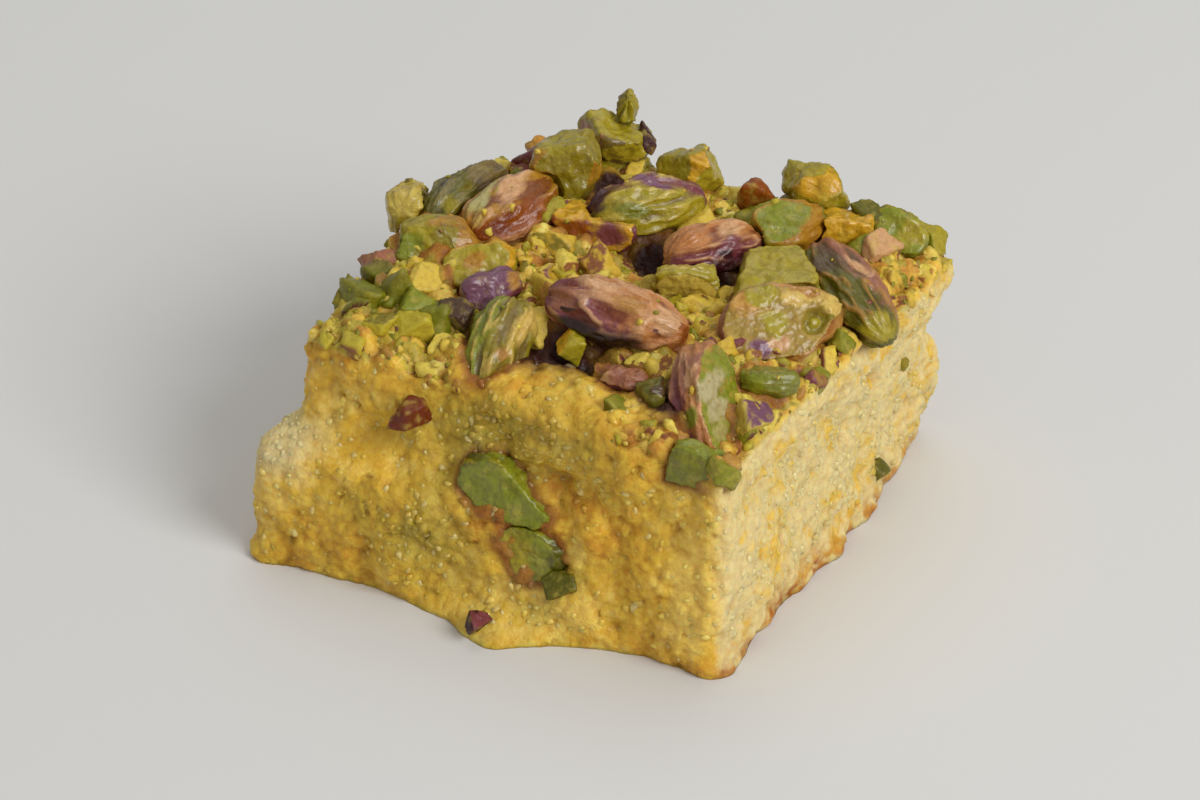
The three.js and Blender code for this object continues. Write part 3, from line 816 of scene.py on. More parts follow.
def nut_shapes():
    """The corners, in metres, and the faces of each pistachio of the frame."""
    meshes = [node.data for name, node in frame["nodes"].items() if name != "cake"]
    return [([v.co[:] for v in mesh.vertices], [p.vertices[:] for p in mesh.polygons]) for mesh in meshes]


def seam_and_shade_share(points):
    """1 where the crumb meets a pistachio, falling to 0 over the width of the dark seam there, of syrup and
    painted contact shade.
    """
    corners, faces = joined(nut_shapes())
    tree = BVHTree.FromPolygons(corners.tolist(), faces)
    reach = SEAM_AND_SHADE_WIDTH * MM
    distances = (tree.find_nearest(Vector(point), reach)[3] for point in points * MM)
    return np.array([0 if distance is None else 1 - distance / reach for distance in distances])


def crumb_masks(mesh, points, top):
    """Where the topping lies, where it has fallen away, where hollows and seams of syrup get painted shade,
    and where dry grains are.
    """
    paint(mesh, "heap", heap_share(points))
    # Painted shade in the hollows under the kernels; where it lies, the topping is left off.
    hollow = np.clip(sum(hill(points, at, reach) for at, reach in SHADED_HOLLOWS) * HOLLOW_SHADE_STRENGTH, 0, 1)
    seam = seam_and_shade_share(points)
    paint(mesh, "hollow", hollow)
    paint(mesh, "seam", SEAM_AND_SHADE_DEPTH * ease(seam))
    bare = np.maximum(step(hollow, 0.2, 0.5), step(thin_share(points), 0.2, 0.5))
    bare = np.maximum(bare, step(seam, 0.4, 0.7))
    paint(mesh, "topping", top * (1 - bare))
    share = sum(part * hill(points, at, reach) for at, reach, part in GRAINY.values())
    patches = cloud(points / 3 + 21, 2)
    above_foot = step(points[:, 2], 0.9, 1.8)
    grains = 0.7 * step(share + 0.5 * patches, 0.3, 0.6) + 0.3
    paint(mesh, "grains", np.clip(grains, 0, 1) * (1 - top) * above_foot)


class CAKE_OT_crumb(bpy.types.Operator):
    """Make the crumb: the cut block with its crags, clumps and pits"""

    bl_idname = "cake.crumb"
    bl_label = "Crumb"

    def execute(self, context):
        settings = context.scene.cake_crumb
        counts = np.rint(2 * BLOCK_HALF * MM / settings.cell).astype(int)
        lattice, faces = block_lattice(counts)
        a, b, t, out = rounded_block(lattice, counts)
        points = skin_points(a, b, t, out)
        top = step(out[:, 2], 0.45, 0.8) * (1 - 0.95 * bare_share(points))
        height, cavity, tone = crumb_relief(points, top, settings)
        foot = step(points[:, 2], 0, 0.6)
        moved = points + out * height[:, None] * np.stack((0.3 + 0.7 * foot, 0.3 + 0.7 * foot, foot), axis=-1)
        mesh = smooth_mesh("crumb", moved, faces)
        crumb_tints(mesh, points, out, cavity)
        crumb_masks(mesh, points, top)
        paint(mesh, "lump", tone)
        finish_piece("crumb", mesh, crumb_material(settings), ["cake"])
        return {"FINISHED"}


# Pieces scattered over the crumb.


def quad_ball(cuts):
    """Points and quads of a ball one unit wide, made from a cube whose edges are cut."""
    ball = bmesh.new()
    bmesh.ops.create_cube(ball, size=1)
    bmesh.ops.subdivide_edges(ball, edges=ball.edges, cuts=cuts, use_grid_fill=True)
    ball.verts.index_update()
    points = np.array([v.co[:] for v in ball.verts])
    faces = [[v.index for v in face.verts] for face in ball.faces]
    ball.free()
    return points * 0.5 / np.linalg.norm(points, axis=1)[:, None], faces


# The flat faces of a chopped piece: which way each looks, and how far from its middle it may be, as a
# share of its size. Each is askew by its own amount.
BIT_FACES = (
    ((1, 0, 0), (0.44, 0.58)),
    ((-1, 0, 0), (0.44, 0.58)),
    ((0, 1, 0), (0.34, 0.46)),
    ((0, -1, 0), (0.34, 0.46)),
    ((0, 0, 1), (0.26, 0.38)),
    ((0, 0, -1), (0.26, 0.38)),
    ((1, 1, 1), (0.38, 0.5)),
    ((-1, 1, -1), (0.38, 0.5)),
)
BIT_ASKEW = 0.6
BIT_SHARPNESS = 22
SKIN_FACE = 4


def chunk_form(points, seed):
    """Draws a ball's points in to the flat faces of chopped piece number seed. Also where its skin is."""
    ways = points / np.linalg.norm(points, axis=1)[:, None]
    pull = np.empty((len(points), len(BIT_FACES)))
    for number, (way, (nearest, furthest)) in enumerate(BIT_FACES):
        lean = np.array([draw(seed, number, 20 + k) for k in (1, 2, 3)]) - 0.5
        facing = np.array(way) + BIT_ASKEW * lean
        facing /= np.linalg.norm(facing)
        distance = nearest + (furthest - nearest) * draw(seed, number, 24)
        pull[:, number] = np.maximum(ways @ facing / distance, 0)
    reach = np.sum(pull ** BIT_SHARPNESS, axis=1) ** (-1 / BIT_SHARPNESS)
    return ways * reach[:, None], np.argmax(pull, axis=1) == SKIN_FACE


def fragment(name, seed, cuts, roughness):
    """One chopped fragment about one metre wide, for the scatter to scale."""
    points, faces = quad_ball(cuts)
    points, skin = chunk_form(points, seed)
    points = points * (1 + roughness * cloud(points * 3 + seed, 2))[:, None]
    mesh = bpy.data.meshes.new(name)
    mesh.from_pydata(points.tolist(), [], faces)
    paint(mesh, "skin", skin)
    return mesh


def fragment_collection(name, count, cuts, roughness, first_seed):
    """A collection of fragments that differ, kept out of the scene."""
    shelf = bpy.data.collections.new(name)
    for number in range(count):
        title = f"{name} {number}"
        mesh = fragment(title, first_seed + number, cuts, roughness)
        shelf.objects.link(bpy.data.objects.new(title, mesh))
    return shelf


def clear_collection(shelf):
    for thing in list(shelf.objects):
        bpy.data.meshes.remove(thing.data)
    bpy.data.collections.remove(shelf)


# How many points are tried in a square of one spacing, and how much more often a piece is small than large.
TRIED_POINTS = 1.2
SMALL_MORE_OFTEN = 1.8


def scatter_tree():
    """Geometry nodes that strew fragments over a surface, turned and sized at random."""
    if "Strewn Pieces" in bpy.data.node_groups:
        return bpy.data.node_groups["Strewn Pieces"]
    tree = bpy.data.node_groups.new("Strewn Pieces", "GeometryNodeTree")
    sockets = (
        ("Surface", "NodeSocketGeometry"),
        ("Fragments", "NodeSocketCollection"),
        ("Mask Name", "NodeSocketString"),
        ("Spacing", "NodeSocketFloat"),
        ("Smallest", "NodeSocketFloat"),
        ("Largest", "NodeSocketFloat"),
        ("Sink", "NodeSocketFloat"),
        ("Seed", "NodeSocketInt"),
        ("Material", "NodeSocketMaterial"),
    )
    for title, kind in sockets:
        tree.interface.new_socket(title, in_out="INPUT", socket_type=kind)
    tree.interface.new_socket("Pieces", in_out="OUTPUT", socket_type="NodeSocketGeometry")
    entry = tree.nodes.new("NodeGroupInput").outputs
    mask = put(tree, "GeometryNodeInputNamedAttribute", {"Name": entry["Mask Name"]}, "Attribute")
    density = sums(tree, "DIVIDE", TRIED_POINTS, times(tree, entry["Spacing"], entry["Spacing"]))
    strewn = put(tree, "GeometryNodeDistributePointsOnFaces", {
        "Mesh": entry["Surface"],
        "Distance Min": entry["Spacing"],
        "Density Max": density,
        "Density Factor": mask,
        "Seed": entry["Seed"],
    }, distribute_method="POISSON").node
    chance = put(tree, "FunctionNodeRandomValue", {2: 0.0, 3: 1.0, "Seed": entry["Seed"]}, 1)
    small_often = sums(tree, "POWER", chance, SMALL_MORE_OFTEN)
    span = minus(tree, entry["Largest"], entry["Smallest"])
    size = sums(tree, "ADD", entry["Smallest"], times(tree, span, small_often))
    depth = times(tree, times(tree, size, entry["Sink"]), -1.0)
    offset = put(
        tree, "ShaderNodeVectorMath", {0: strewn.outputs["Normal"], "Scale": depth}, operation="SCALE"
    )
    sunk = put(tree, "GeometryNodeSetPosition", {"Geometry": strewn.outputs["Points"], "Offset": offset})
    whole_turn = 2 * math.pi
    turn = put(
        tree, "FunctionNodeRandomValue",
        {0: (0.0, 0.0, 0.0), 1: (whole_turn,) * 3, "Seed": sums(tree, "ADD", entry["Seed"], 1.0)},
        data_type="FLOAT_VECTOR",
    )
    placed = put(tree, "GeometryNodeInstanceOnPoints", {
        "Points": sunk,
        "Instance": put(tree, "GeometryNodeCollectionInfo", {
            "Collection": entry["Fragments"], "Separate Children": True, "Reset Children": True,
        }),
        "Pick Instance": True,
        "Rotation": turn,
        "Scale": size,
    })
    tone = put(
        tree, "FunctionNodeRandomValue", {2: 0.0, 3: 1.0, "Seed": sums(tree, "ADD", entry["Seed"], 2.0)}, 1
    )
    toned = put(
        tree, "GeometryNodeStoreNamedAttribute",
        {"Geometry": placed, "Name": "tone", "Value": tone}, data_type="FLOAT", domain="INSTANCE",
    )
    real = put(tree, "GeometryNodeRealizeInstances", {"Geometry": toned})
    made = put(tree, "GeometryNodeSetMaterial", {"Geometry": real, "Material": entry["Material"]})
    leave = tree.nodes.new("NodeGroupOutput")
    tree.links.new(made, leave.inputs["Pieces"])
    return tree


# What the strewn pieces are like: which mask of the surface they follow, how many shapes they have, how
# often a shape's edges are cut, how rough it is, how deep it sinks as a share of its width, and the seed.
STREWN = {
    "semolina_grains": ("grains", 8, 1, 0.25, 0.3, 11),
    "chopped_middling": ("topping", 8, 4, 0.22, 0.3, 31),
    "chopped_small": ("topping", 8, 2, 0.22, 0.25, 41),
    "ground_pistachio": ("topping", 6, 1, 0.22, 0.15, 67),
    "ground_on_kernels": ("topping", 6, 1, 0.22, 0.15, 83),
}


def strew(name, surface, material, slot, spacing, smallest, largest):
    """Strews fragments over a surface and keeps the result as one plain piece."""
    mask, shapes, cuts, roughness, sink, seed = STREWN[name]
    fragments = fragment_collection(f"{name} shapes", shapes, cuts, roughness, seed)
    carrier = new_object(f"{name} carrier", surface)
    modifier = carrier.modifiers.new("strew", "NODES")
    modifier.node_group = scatter_tree()
    values = {
        "Fragments": fragments, "Mask Name": mask, "Spacing": spacing, "Smallest": smallest,
        "Largest": largest, "Sink": sink, "Seed": seed, "Material": material,
    }
    for socket in modifier.node_group.interface.items_tree:
        if socket.in_out == "INPUT" and socket.name in values:
            modifier[socket.identifier] = values[socket.name]
    mesh = evaluated_mesh(carrier, name)
    carrier_mesh = carrier.data
    bpy.data.objects.remove(carrier)
    bpy.data.meshes.remove(carrier_mesh)
    clear_collection(fragments)
    if not mesh.polygons:
        raise RuntimeError(f"nothing was strewn for {name}")
    finish_piece(name, mesh, material)


def crumb_surface():
    return bpy.data.objects["crumb"].data.copy()


def grain_material(settings):
    """Semolina grains: as soaked as the crumb they lie in, and a little paler."""
    material, tree, shader = new_material("semolina grains", 0.5)
    tone = attribute(tree, "tone")
    cloudy = grainy(tree, object_place(tree), 0.5 * MM)
    paler = times(tree, sums(tree, "POWER", tone, 3.0), 0.6)
    colour = mixed(tree, paler, crumb_colour(tree, settings), settings.pale)
    tree.links.new(colour, shader.inputs["Base Color"])
    add_syrup(tree, shader, 0.6, 0.45, 0.2)
    add_bump(tree, shader, cloudy, 0.04 * MM, 0.6)
    set_translucent(shader, 0.5, (1.0, 0.7, 0.3), 1.2 * MM)
    return material


class CAKE_OT_semolina(bpy.types.Operator):
    """Strew semolina grains over the crumb's sides"""

    bl_idname = "cake.semolina"
    bl_label = "Semolina grains"

    def execute(self, context):
        settings = context.scene.cake_semolina
        material = grain_material(context.scene.cake_crumb)
        sizes = (settings.spacing, settings.smallest, settings.largest)
        strew("semolina_grains", crumb_surface(), material, "crumb", *sizes)
        return {"FINISHED"}


# Chopped pistachio.

COLOURS = {
    "plum": 0x421A1E, "purple": 0x7C3C42, "violet": 0x7A4E62, "maroon": 0x702A0B, "rose": 0x9E6448,
    "brick": 0x90490C, "peach": 0xBE7E44, "pink": 0xD0A070, "tan": 0xB5833A, "sand": 0xD0B058,
    "amber": 0xAE7C1B, "gold": 0xD6A51F, "umber": 0x7B6633, "bark": 0x523C13, "olive": 0x8C7C16,
    "moss": 0x625E11, "green": 0x7A7A16, "leaf": 0x808617, "lime": 0xA4941B, "grey": 0x8A7A42,
    "shade": 0x2A1208, "pale_sheen": 0xB4A878, "cream": 0xC8B04B, "sage": 0xA89E5C, "rim": 0xC0903E,
    "inside": 0xA08435,
}

FLESH_TONES = (
    (0.0, 0xDEBE46), (0.2, 0xBEAC2E), (0.36, 0xE6CC56), (0.52, 0xA49828),
    (0.66, 0xD4B03A), (0.78, 0x86841C), (0.9, 0xB88638), (0.96, 0x7C3C42),
)
SKIN_TONES = ((0.0, 0x7C3F37), (0.25, 0x97613A), (0.5, 0x8A7A22), (0.75, 0xA07832), (0.9, 0x5A2A25))

# Chopped pieces that show one by one: place and size in millimetres, and colours of flesh and skin.
PLACED_BITS = {
    "striped bit beside kernel_front": ((24.8, -14.4, 25.8), 3.8, "cream", "violet"),
    "green bit on the bare strip": ((11.8, -18.9, 25.4), 3.4, "green", "leaf"),
    "yellow bit below kernel_red": ((3.3, -12.2, 27.4), 3.4, "lime", "gold"),
    "pink bits at the left": ((-21.2, -6.2, 27.6), 4, "rose", "peach"),
    "pink bits at the left, lower": ((-20.2, -8.8, 27.4), 4, "purple", "peach"),
    "green bit of the front left heap": ((-19.6, -13.4, 27.2), 4, "green", "leaf"),
    "green bit of the front left heap, second": ((-17.2, -11.6, 28), 4.4, "olive", "green"),
    "green bit of the front left heap, third": ((-14.4, -13, 27.8), 4.4, "leaf", "lime"),
    "green bit of the front left heap, fourth": ((-11.8, -13.6, 27), 4.6, "green", "leaf"),
    "green bit of the front left heap, fifth": ((-21.6, -13, 26.6), 3.4, "lime", "olive"),
    "dark sliver beside kernel_edge": ((-10, -12.8, 28), 3.4, "plum", "grey"),
    "pink bit beside kernel_dark": ((25.7, 17.4, 28), 3.8, "pink", "rose"),
    "red bit at the back": ((10.1, 20.1, 29.2), 3.2, "brick", "pink"),
    "purple bit behind chip_upright": ((-3.8, 23.4, 30.2), 2.4, "plum", "purple"),
    "lime bit at the far corner": ((29.2, 23, 26.6), 3.2, "lime", "leaf"),
    "dark bit before chunk_right": ((23.4, 21.8, 28.4), 3.8, "moss", "bark"),
    "red bit in the front": ((-10.3, -22.2, 21.3), 3.8, "maroon", "peach"),
    "green bit high in the right side": ((28.6, 16, 15), 3.2, "olive", "green"),
    "green bit at the foot of the right side": ((28.2, 12, 3.2), 3, "moss", "olive"),
    "purple bit in the loose crumb": ((0, -29.3, 2.4), 2.6, "plum", "purple"),
    "moss bit beside half_side": ((7.6, -25.2, 6.6), 3.2, "moss", "olive"),
    "bit below chunk_far": ((16.4, 22.8, 27), 5.6, "olive", "lime"),
    "bit below chunk_rear": ((-7, 22.4, 27.4), 5, "lime", "olive"),
}
FIRST_PLACED_SEED = 700

# The rule that spreads the others: steps across and along the top that never line up, and the share of the
# top that they take. In the back and the left side, it has a few for each.
EVEN_STEPS = np.array((0.7548776662, 0.569840291))
TOP_SHARE = 0.92
SIDE_WAYS = ((0, 1), (-1, 0))
SIDE_COUNT = 3
FIRST_SIDE_SEED = 500

# How often the edges of a large chopped piece are cut, to make its mesh.
BIT_CUTS = 11


def chopped_material(name):
    """Chopped pistachio: pale green to golden flesh, and skin on the side that the knife left alone."""
    material, tree, shader = new_material(name)
    place = object_place(tree)
    tone = attribute(tree, "tone")
    own = attribute(tree, "own")
    flesh = mixed(tree, own, tone_ramp(tree, tone, FLESH_TONES), attribute(tree, "own flesh", "Color"))
    turned = sums(tree, "FRACT", times(tree, tone, 7.0))
    skin = mixed(tree, own, tone_ramp(tree, turned, SKIN_TONES), attribute(tree, "own skin", "Color"))
    patches = grainy(tree, place, 1.1 * MM, 3.0)
    cream = times(tree, band(tree, patches, 0.45, 0.75), 0.5)
    flesh = mixed(tree, cream, flesh, srgb(COLOURS["cream"]))
    greener = times(tree, attribute(tree, "heap"), band(tree, tone, 0.3, 0.5))
    flesh = mixed(tree, greener, flesh, srgb(COLOURS["green"]))
    share = times(tree, attribute(tree, "skin"), band(tree, patches, 0.3, 0.5))
    colour = mixed(tree, share, flesh, skin)
    add_mottled(tree, shader, colour, (0.62, 0.54, 0.4), 0.6 * MM, 0.45)
    add_syrup(tree, shader, 0.6, 0.5, 0.25)
    add_bump(tree, shader, grainy(tree, place, 0.5 * MM, 5.0, 0.6), 0.2 * MM, 0.8)
    set_translucent(shader, 0.3, (0.8, 0.8, 0.3), 1.2 * MM)
    return material


def buried(point, trees, clear):
    """Whether a point lies in a pistachio or within clear of its skin, both in millimetres."""
    at = Vector(point * MM)
    for tree in trees:
        near, normal, _, distance = tree.find_nearest(at)
        if distance < clear * MM or (at - near).dot(normal) < 0 and distance < 5 * MM:
            return True
    return False


def turn_matrix(x, y, z):
    """Turns about X, then Y, then Z."""
    cx, sx, cy, sy, cz, sz = (f(v) for v in (x, y, z) for f in (math.cos, math.sin))
    about_x = np.array(((1, 0, 0), (0, cx, -sx), (0, sx, cx)))
    about_y = np.array(((cy, 0, sy), (0, 1, 0), (-sy, 0, cy)))
    about_z = np.array(((cz, -sz, 0), (sz, cz, 0), (0, 0, 1)))
    return about_z @ about_y @ about_x


def chopped_bit(point, size, seed):
    """Points, faces and skin of one chopped piece where the frame's crumb has one."""
    points, faces = quad_ball(BIT_CUTS)
    points, skin = chunk_form(points, seed)
    points = points * (1 + 0.1 * cloud(points * 3 + seed, 2) + 0.06 * cloud(points * 9 + seed, 2))[:, None]
    turn = turn_matrix(
        math.pi * draw(seed, 6, 0), 0.94 * (draw(seed, 7, 0) - 0.5), 2 * math.pi * draw(seed, 8, 0)
    )
    return (points * size) @ turn.T + point, faces, skin


def top_places(settings):
    """Places, sizes and seeds of the large chopped pieces on the top, as the frame has them."""
    numbers = np.arange(1, settings.count + 1)
    shares = (2 * ((0.5 + EVEN_STEPS * numbers[:, None]) % 1) - 1) * TOP_SHARE
    smallest, largest = settings.smallest / MM, settings.largest / MM
    sizes = smallest + (largest - smallest) * draw(numbers, 1, 0) ** 1.5
    up = np.tile((0.0, 0.0, 1.0), (len(numbers), 1))
    places = skin_points(shares[:, 0], shares[:, 1], np.ones(len(numbers)), up)
    places[:, 2] += sizes * (0.3 * draw(numbers, 2, 0) - 0.1)
    bare = bare_distance(places) < 1
    return [found for found, skip in zip(zip(places, sizes, numbers), bare) if not skip]


def side_places():
    """Places, sizes and seeds of the chopped pieces in the back and the left side, as the frame has them."""
    found = []
    for face, (x, y) in enumerate(SIDE_WAYS):
        for number in range(SIDE_COUNT):
            seed = FIRST_SIDE_SEED + SIDE_COUNT * face + number
            along = 0.9 * (2 * (number + draw(seed, 1, 0)) / SIDE_COUNT - 1)
            height = 0.1 + 0.8 * draw(seed, 2, 0)
            size = 1.8 + 1.4 * draw(seed, 9, 0)
            out = np.array(((x, y, 0.0),))
            place = skin_points(np.array((x or along,)), np.array((y or along,)), np.array((height,)), out)
            found.append((place[0], size, seed))
    return found


def bits_to_make(settings):
    """Each large chopped piece: its place, size, seed and, where it shows by itself, its colours."""
    trees = [BVHTree.FromPolygons(*shape) for shape in nut_shapes()]
    wanted = [(p, s, n, 0.2) for p, s, n in top_places(settings)]
    wanted += [(p, s, n, 0.5) for p, s, n in side_places()]
    bits = [(p, s, n, None) for p, s, n, clear in wanted if not buried(p, trees, clear)]
    for number, (at, size, flesh, skin) in enumerate(PLACED_BITS.values()):
        colours = (srgb(COLOURS[flesh]), srgb(COLOURS[skin]))
        bits.append((np.array(at), size, FIRST_PLACED_SEED + number, colours))
    return bits


def large_bits(settings):
    """The large chopped pieces as one mesh."""
    shapes, values = [], []
    for place, size, seed, colours in bits_to_make(settings):
        points, faces, skin = chopped_bit(place, size, seed)
        shapes.append((points, faces))
        flesh_colour, skin_colour = colours or ((0, 0, 0), (0, 0, 0))
        row = (draw(seed, 20, 0), colours is not None, *flesh_colour, 1, *skin_colour, 1)
        values.append(np.column_stack((skin, np.tile(np.array(row, float), (len(points), 1)))))
    mesh = smooth_mesh("chopped_large", *joined(shapes))
    values = np.concatenate(values)
    paint(mesh, "skin", values[:, 0])
    paint(mesh, "tone", values[:, 1])
    paint(mesh, "own", values[:, 2])
    paint(mesh, "heap", heap_share(points_of(mesh)))
    paint_colour(mesh, "own flesh", values[:, 3:7])
    paint_colour(mesh, "own skin", values[:, 7:11])
    return mesh


def nuts_surface():
    """The pistachios that can be told apart, as one mesh with its topping mask."""
    shapes, masks = [], []
    for name in LOOKS:
        mesh = bpy.data.objects["fine_" + name].data
        shapes.append((points_of(mesh), [polygon.vertices[:] for polygon in mesh.polygons]))
        mask = np.empty(len(mesh.vertices), np.float32)
        mesh.attributes["topping"].data.foreach_get("value", mask)
        masks.append(mask)
    mesh = smooth_mesh("nuts surface", *joined(shapes))
    paint(mesh, "topping", np.concatenate(masks))
    return mesh


class CAKE_OT_chopped(bpy.types.Operator):
    """Make the chopped and ground pistachio of the topping"""

    bl_idname = "cake.chopped"
    bl_label = "Chopped pistachio"

    def execute(self, context):
        settings = context.scene.cake_chopped
        material = chopped_material("chopped pistachio")
        finish_piece("chopped_large", large_bits(settings), material)
        kinds = (
            ("chopped_middling", crumb_surface(), settings.middling_spacing, 1.9, 3.3),
            ("chopped_small", crumb_surface(), settings.crumb_spacing, 1.0, 2.1),
            ("ground_pistachio", crumb_surface(), settings.ground_spacing, 0.4, 1.0),
            ("ground_on_kernels", nuts_surface(), settings.stuck_spacing, 0.3, 1.1),
        )
        for name, surface, spacing, smallest, largest in kinds:
            strew(name, surface, material, "kernel_flesh", spacing, smallest * MM, largest * MM)
        return {"FINISHED"}


# The pistachios that can be told apart.

# Each kernel's colours: its skin, the blush on the side that blush_to points to, the pale crests, which are
# painted highlight along the ridges, the dark furrows, which are painted shade in the creases, and the flesh
# where it is cut.
LOOKS = {
    "kernel_red": ("peach", "purple", (-0.8, -1, -0.8), "pink", "maroon", "lime"),
    "kernel_tan": ("tan", "rose", (-1, -0.6, 0), "pink", "brick", "inside"),
    "kernel_front": ("peach", "rose", (-1, 0.1, 0.2), "pink", "purple", "leaf"),
    "kernel_dark": ("moss", "rose", (0.4, 1, 0.2), "tan", "bark", "leaf"),
    "kernel_ridged": ("lime", "purple", (-0.5, 1, 0.4), "cream", "umber", "lime"),
    "kernel_pink": ("peach", "purple", (0.6, -0.6, -0.6), "pink", "maroon", "lime"),
    "kernel_orange": ("amber", "brick", (0.7, -0.4, -0.7), "pink", "maroon", "lime"),
    "kernel_grey": ("moss", "umber", (0.3, 1, 0), "grey", "bark", "olive"),
    "kernel_edge": ("olive", "leaf", (-1, 0, 0), "sand", "umber", "leaf"),
    "kernel_side": ("leaf", "moss", (-1, 0, -0.4), "lime", "moss", "leaf"),
    "kernel_behind": ("leaf", "rose", (1, 0, 0.6), "lime", "moss", "leaf"),
    "half_red": ("brick", "purple", (1, -0.2, -0.6), "rose", "maroon", "gold"),
    "half_green": ("olive", "rose", (0, -1, -1), "lime", "umber", "lime"),
    "half_side": ("leaf", "moss", (1, 0, -0.6), "lime", "moss", "leaf"),
    "half_left": ("olive", "rose", (0, 1, 0.5), "lime", "moss", "lime"),
    "chunk_tall": ("olive", "amber", (0, 0, 1), "lime", "umber", "olive"),
    "chunk_smooth": ("lime", "amber", (1, -0.2, 0.2), "lime", "bark", "lime"),
    "chunk_olive": ("olive", "amber", (0.5, 0, 1), "lime", "umber", "leaf"),
    "chunk_golden": ("amber", "gold", (0, 0, 1), "gold", "brick", "gold"),
    "chunk_middle": ("olive", "lime", (0, 0, 1), "cream", "umber", "cream"),
    "chunk_back": ("lime", "gold", (0, 0, 1), "cream", "amber", "lime"),
    "chunk_rear": ("umber", "rose", (-1, 0, 0.4), "lime", "bark", "lime"),
    "chip_upright": ("olive", "lime", (1, 0, 0), "lime", "moss", "green"),
    "chunk_far": ("lime", "gold", (0, 0, 1), "cream", "olive", "lime"),
    "chunk_right": ("green", "lime", (0, 0, 1), "lime", "moss", "leaf"),
    "chunk_left": ("lime", "cream", (0, 0, 1), "cream", "olive", "cream"),
    "chunk_curl": ("leaf", "green", (1, 0, 0), "lime", "moss", "green"),
    "chunk_shaded": ("moss", "bark", (0, 0, 1), "olive", "bark", "moss"),
    "chip_purple": ("purple", "rose", (1, 0, 0), "pink", "plum", "rose"),
    "sliver_lime": ("lime", "gold", (0, 0, 1), "lime", "umber", "lime"),
    "sliver_purple": ("purple", "violet", (0, 0, 1), "violet", "plum", "violet"),
    "wedge_front": ("leaf", "green", (0, 0, -1), "lime", "moss", "green"),
}

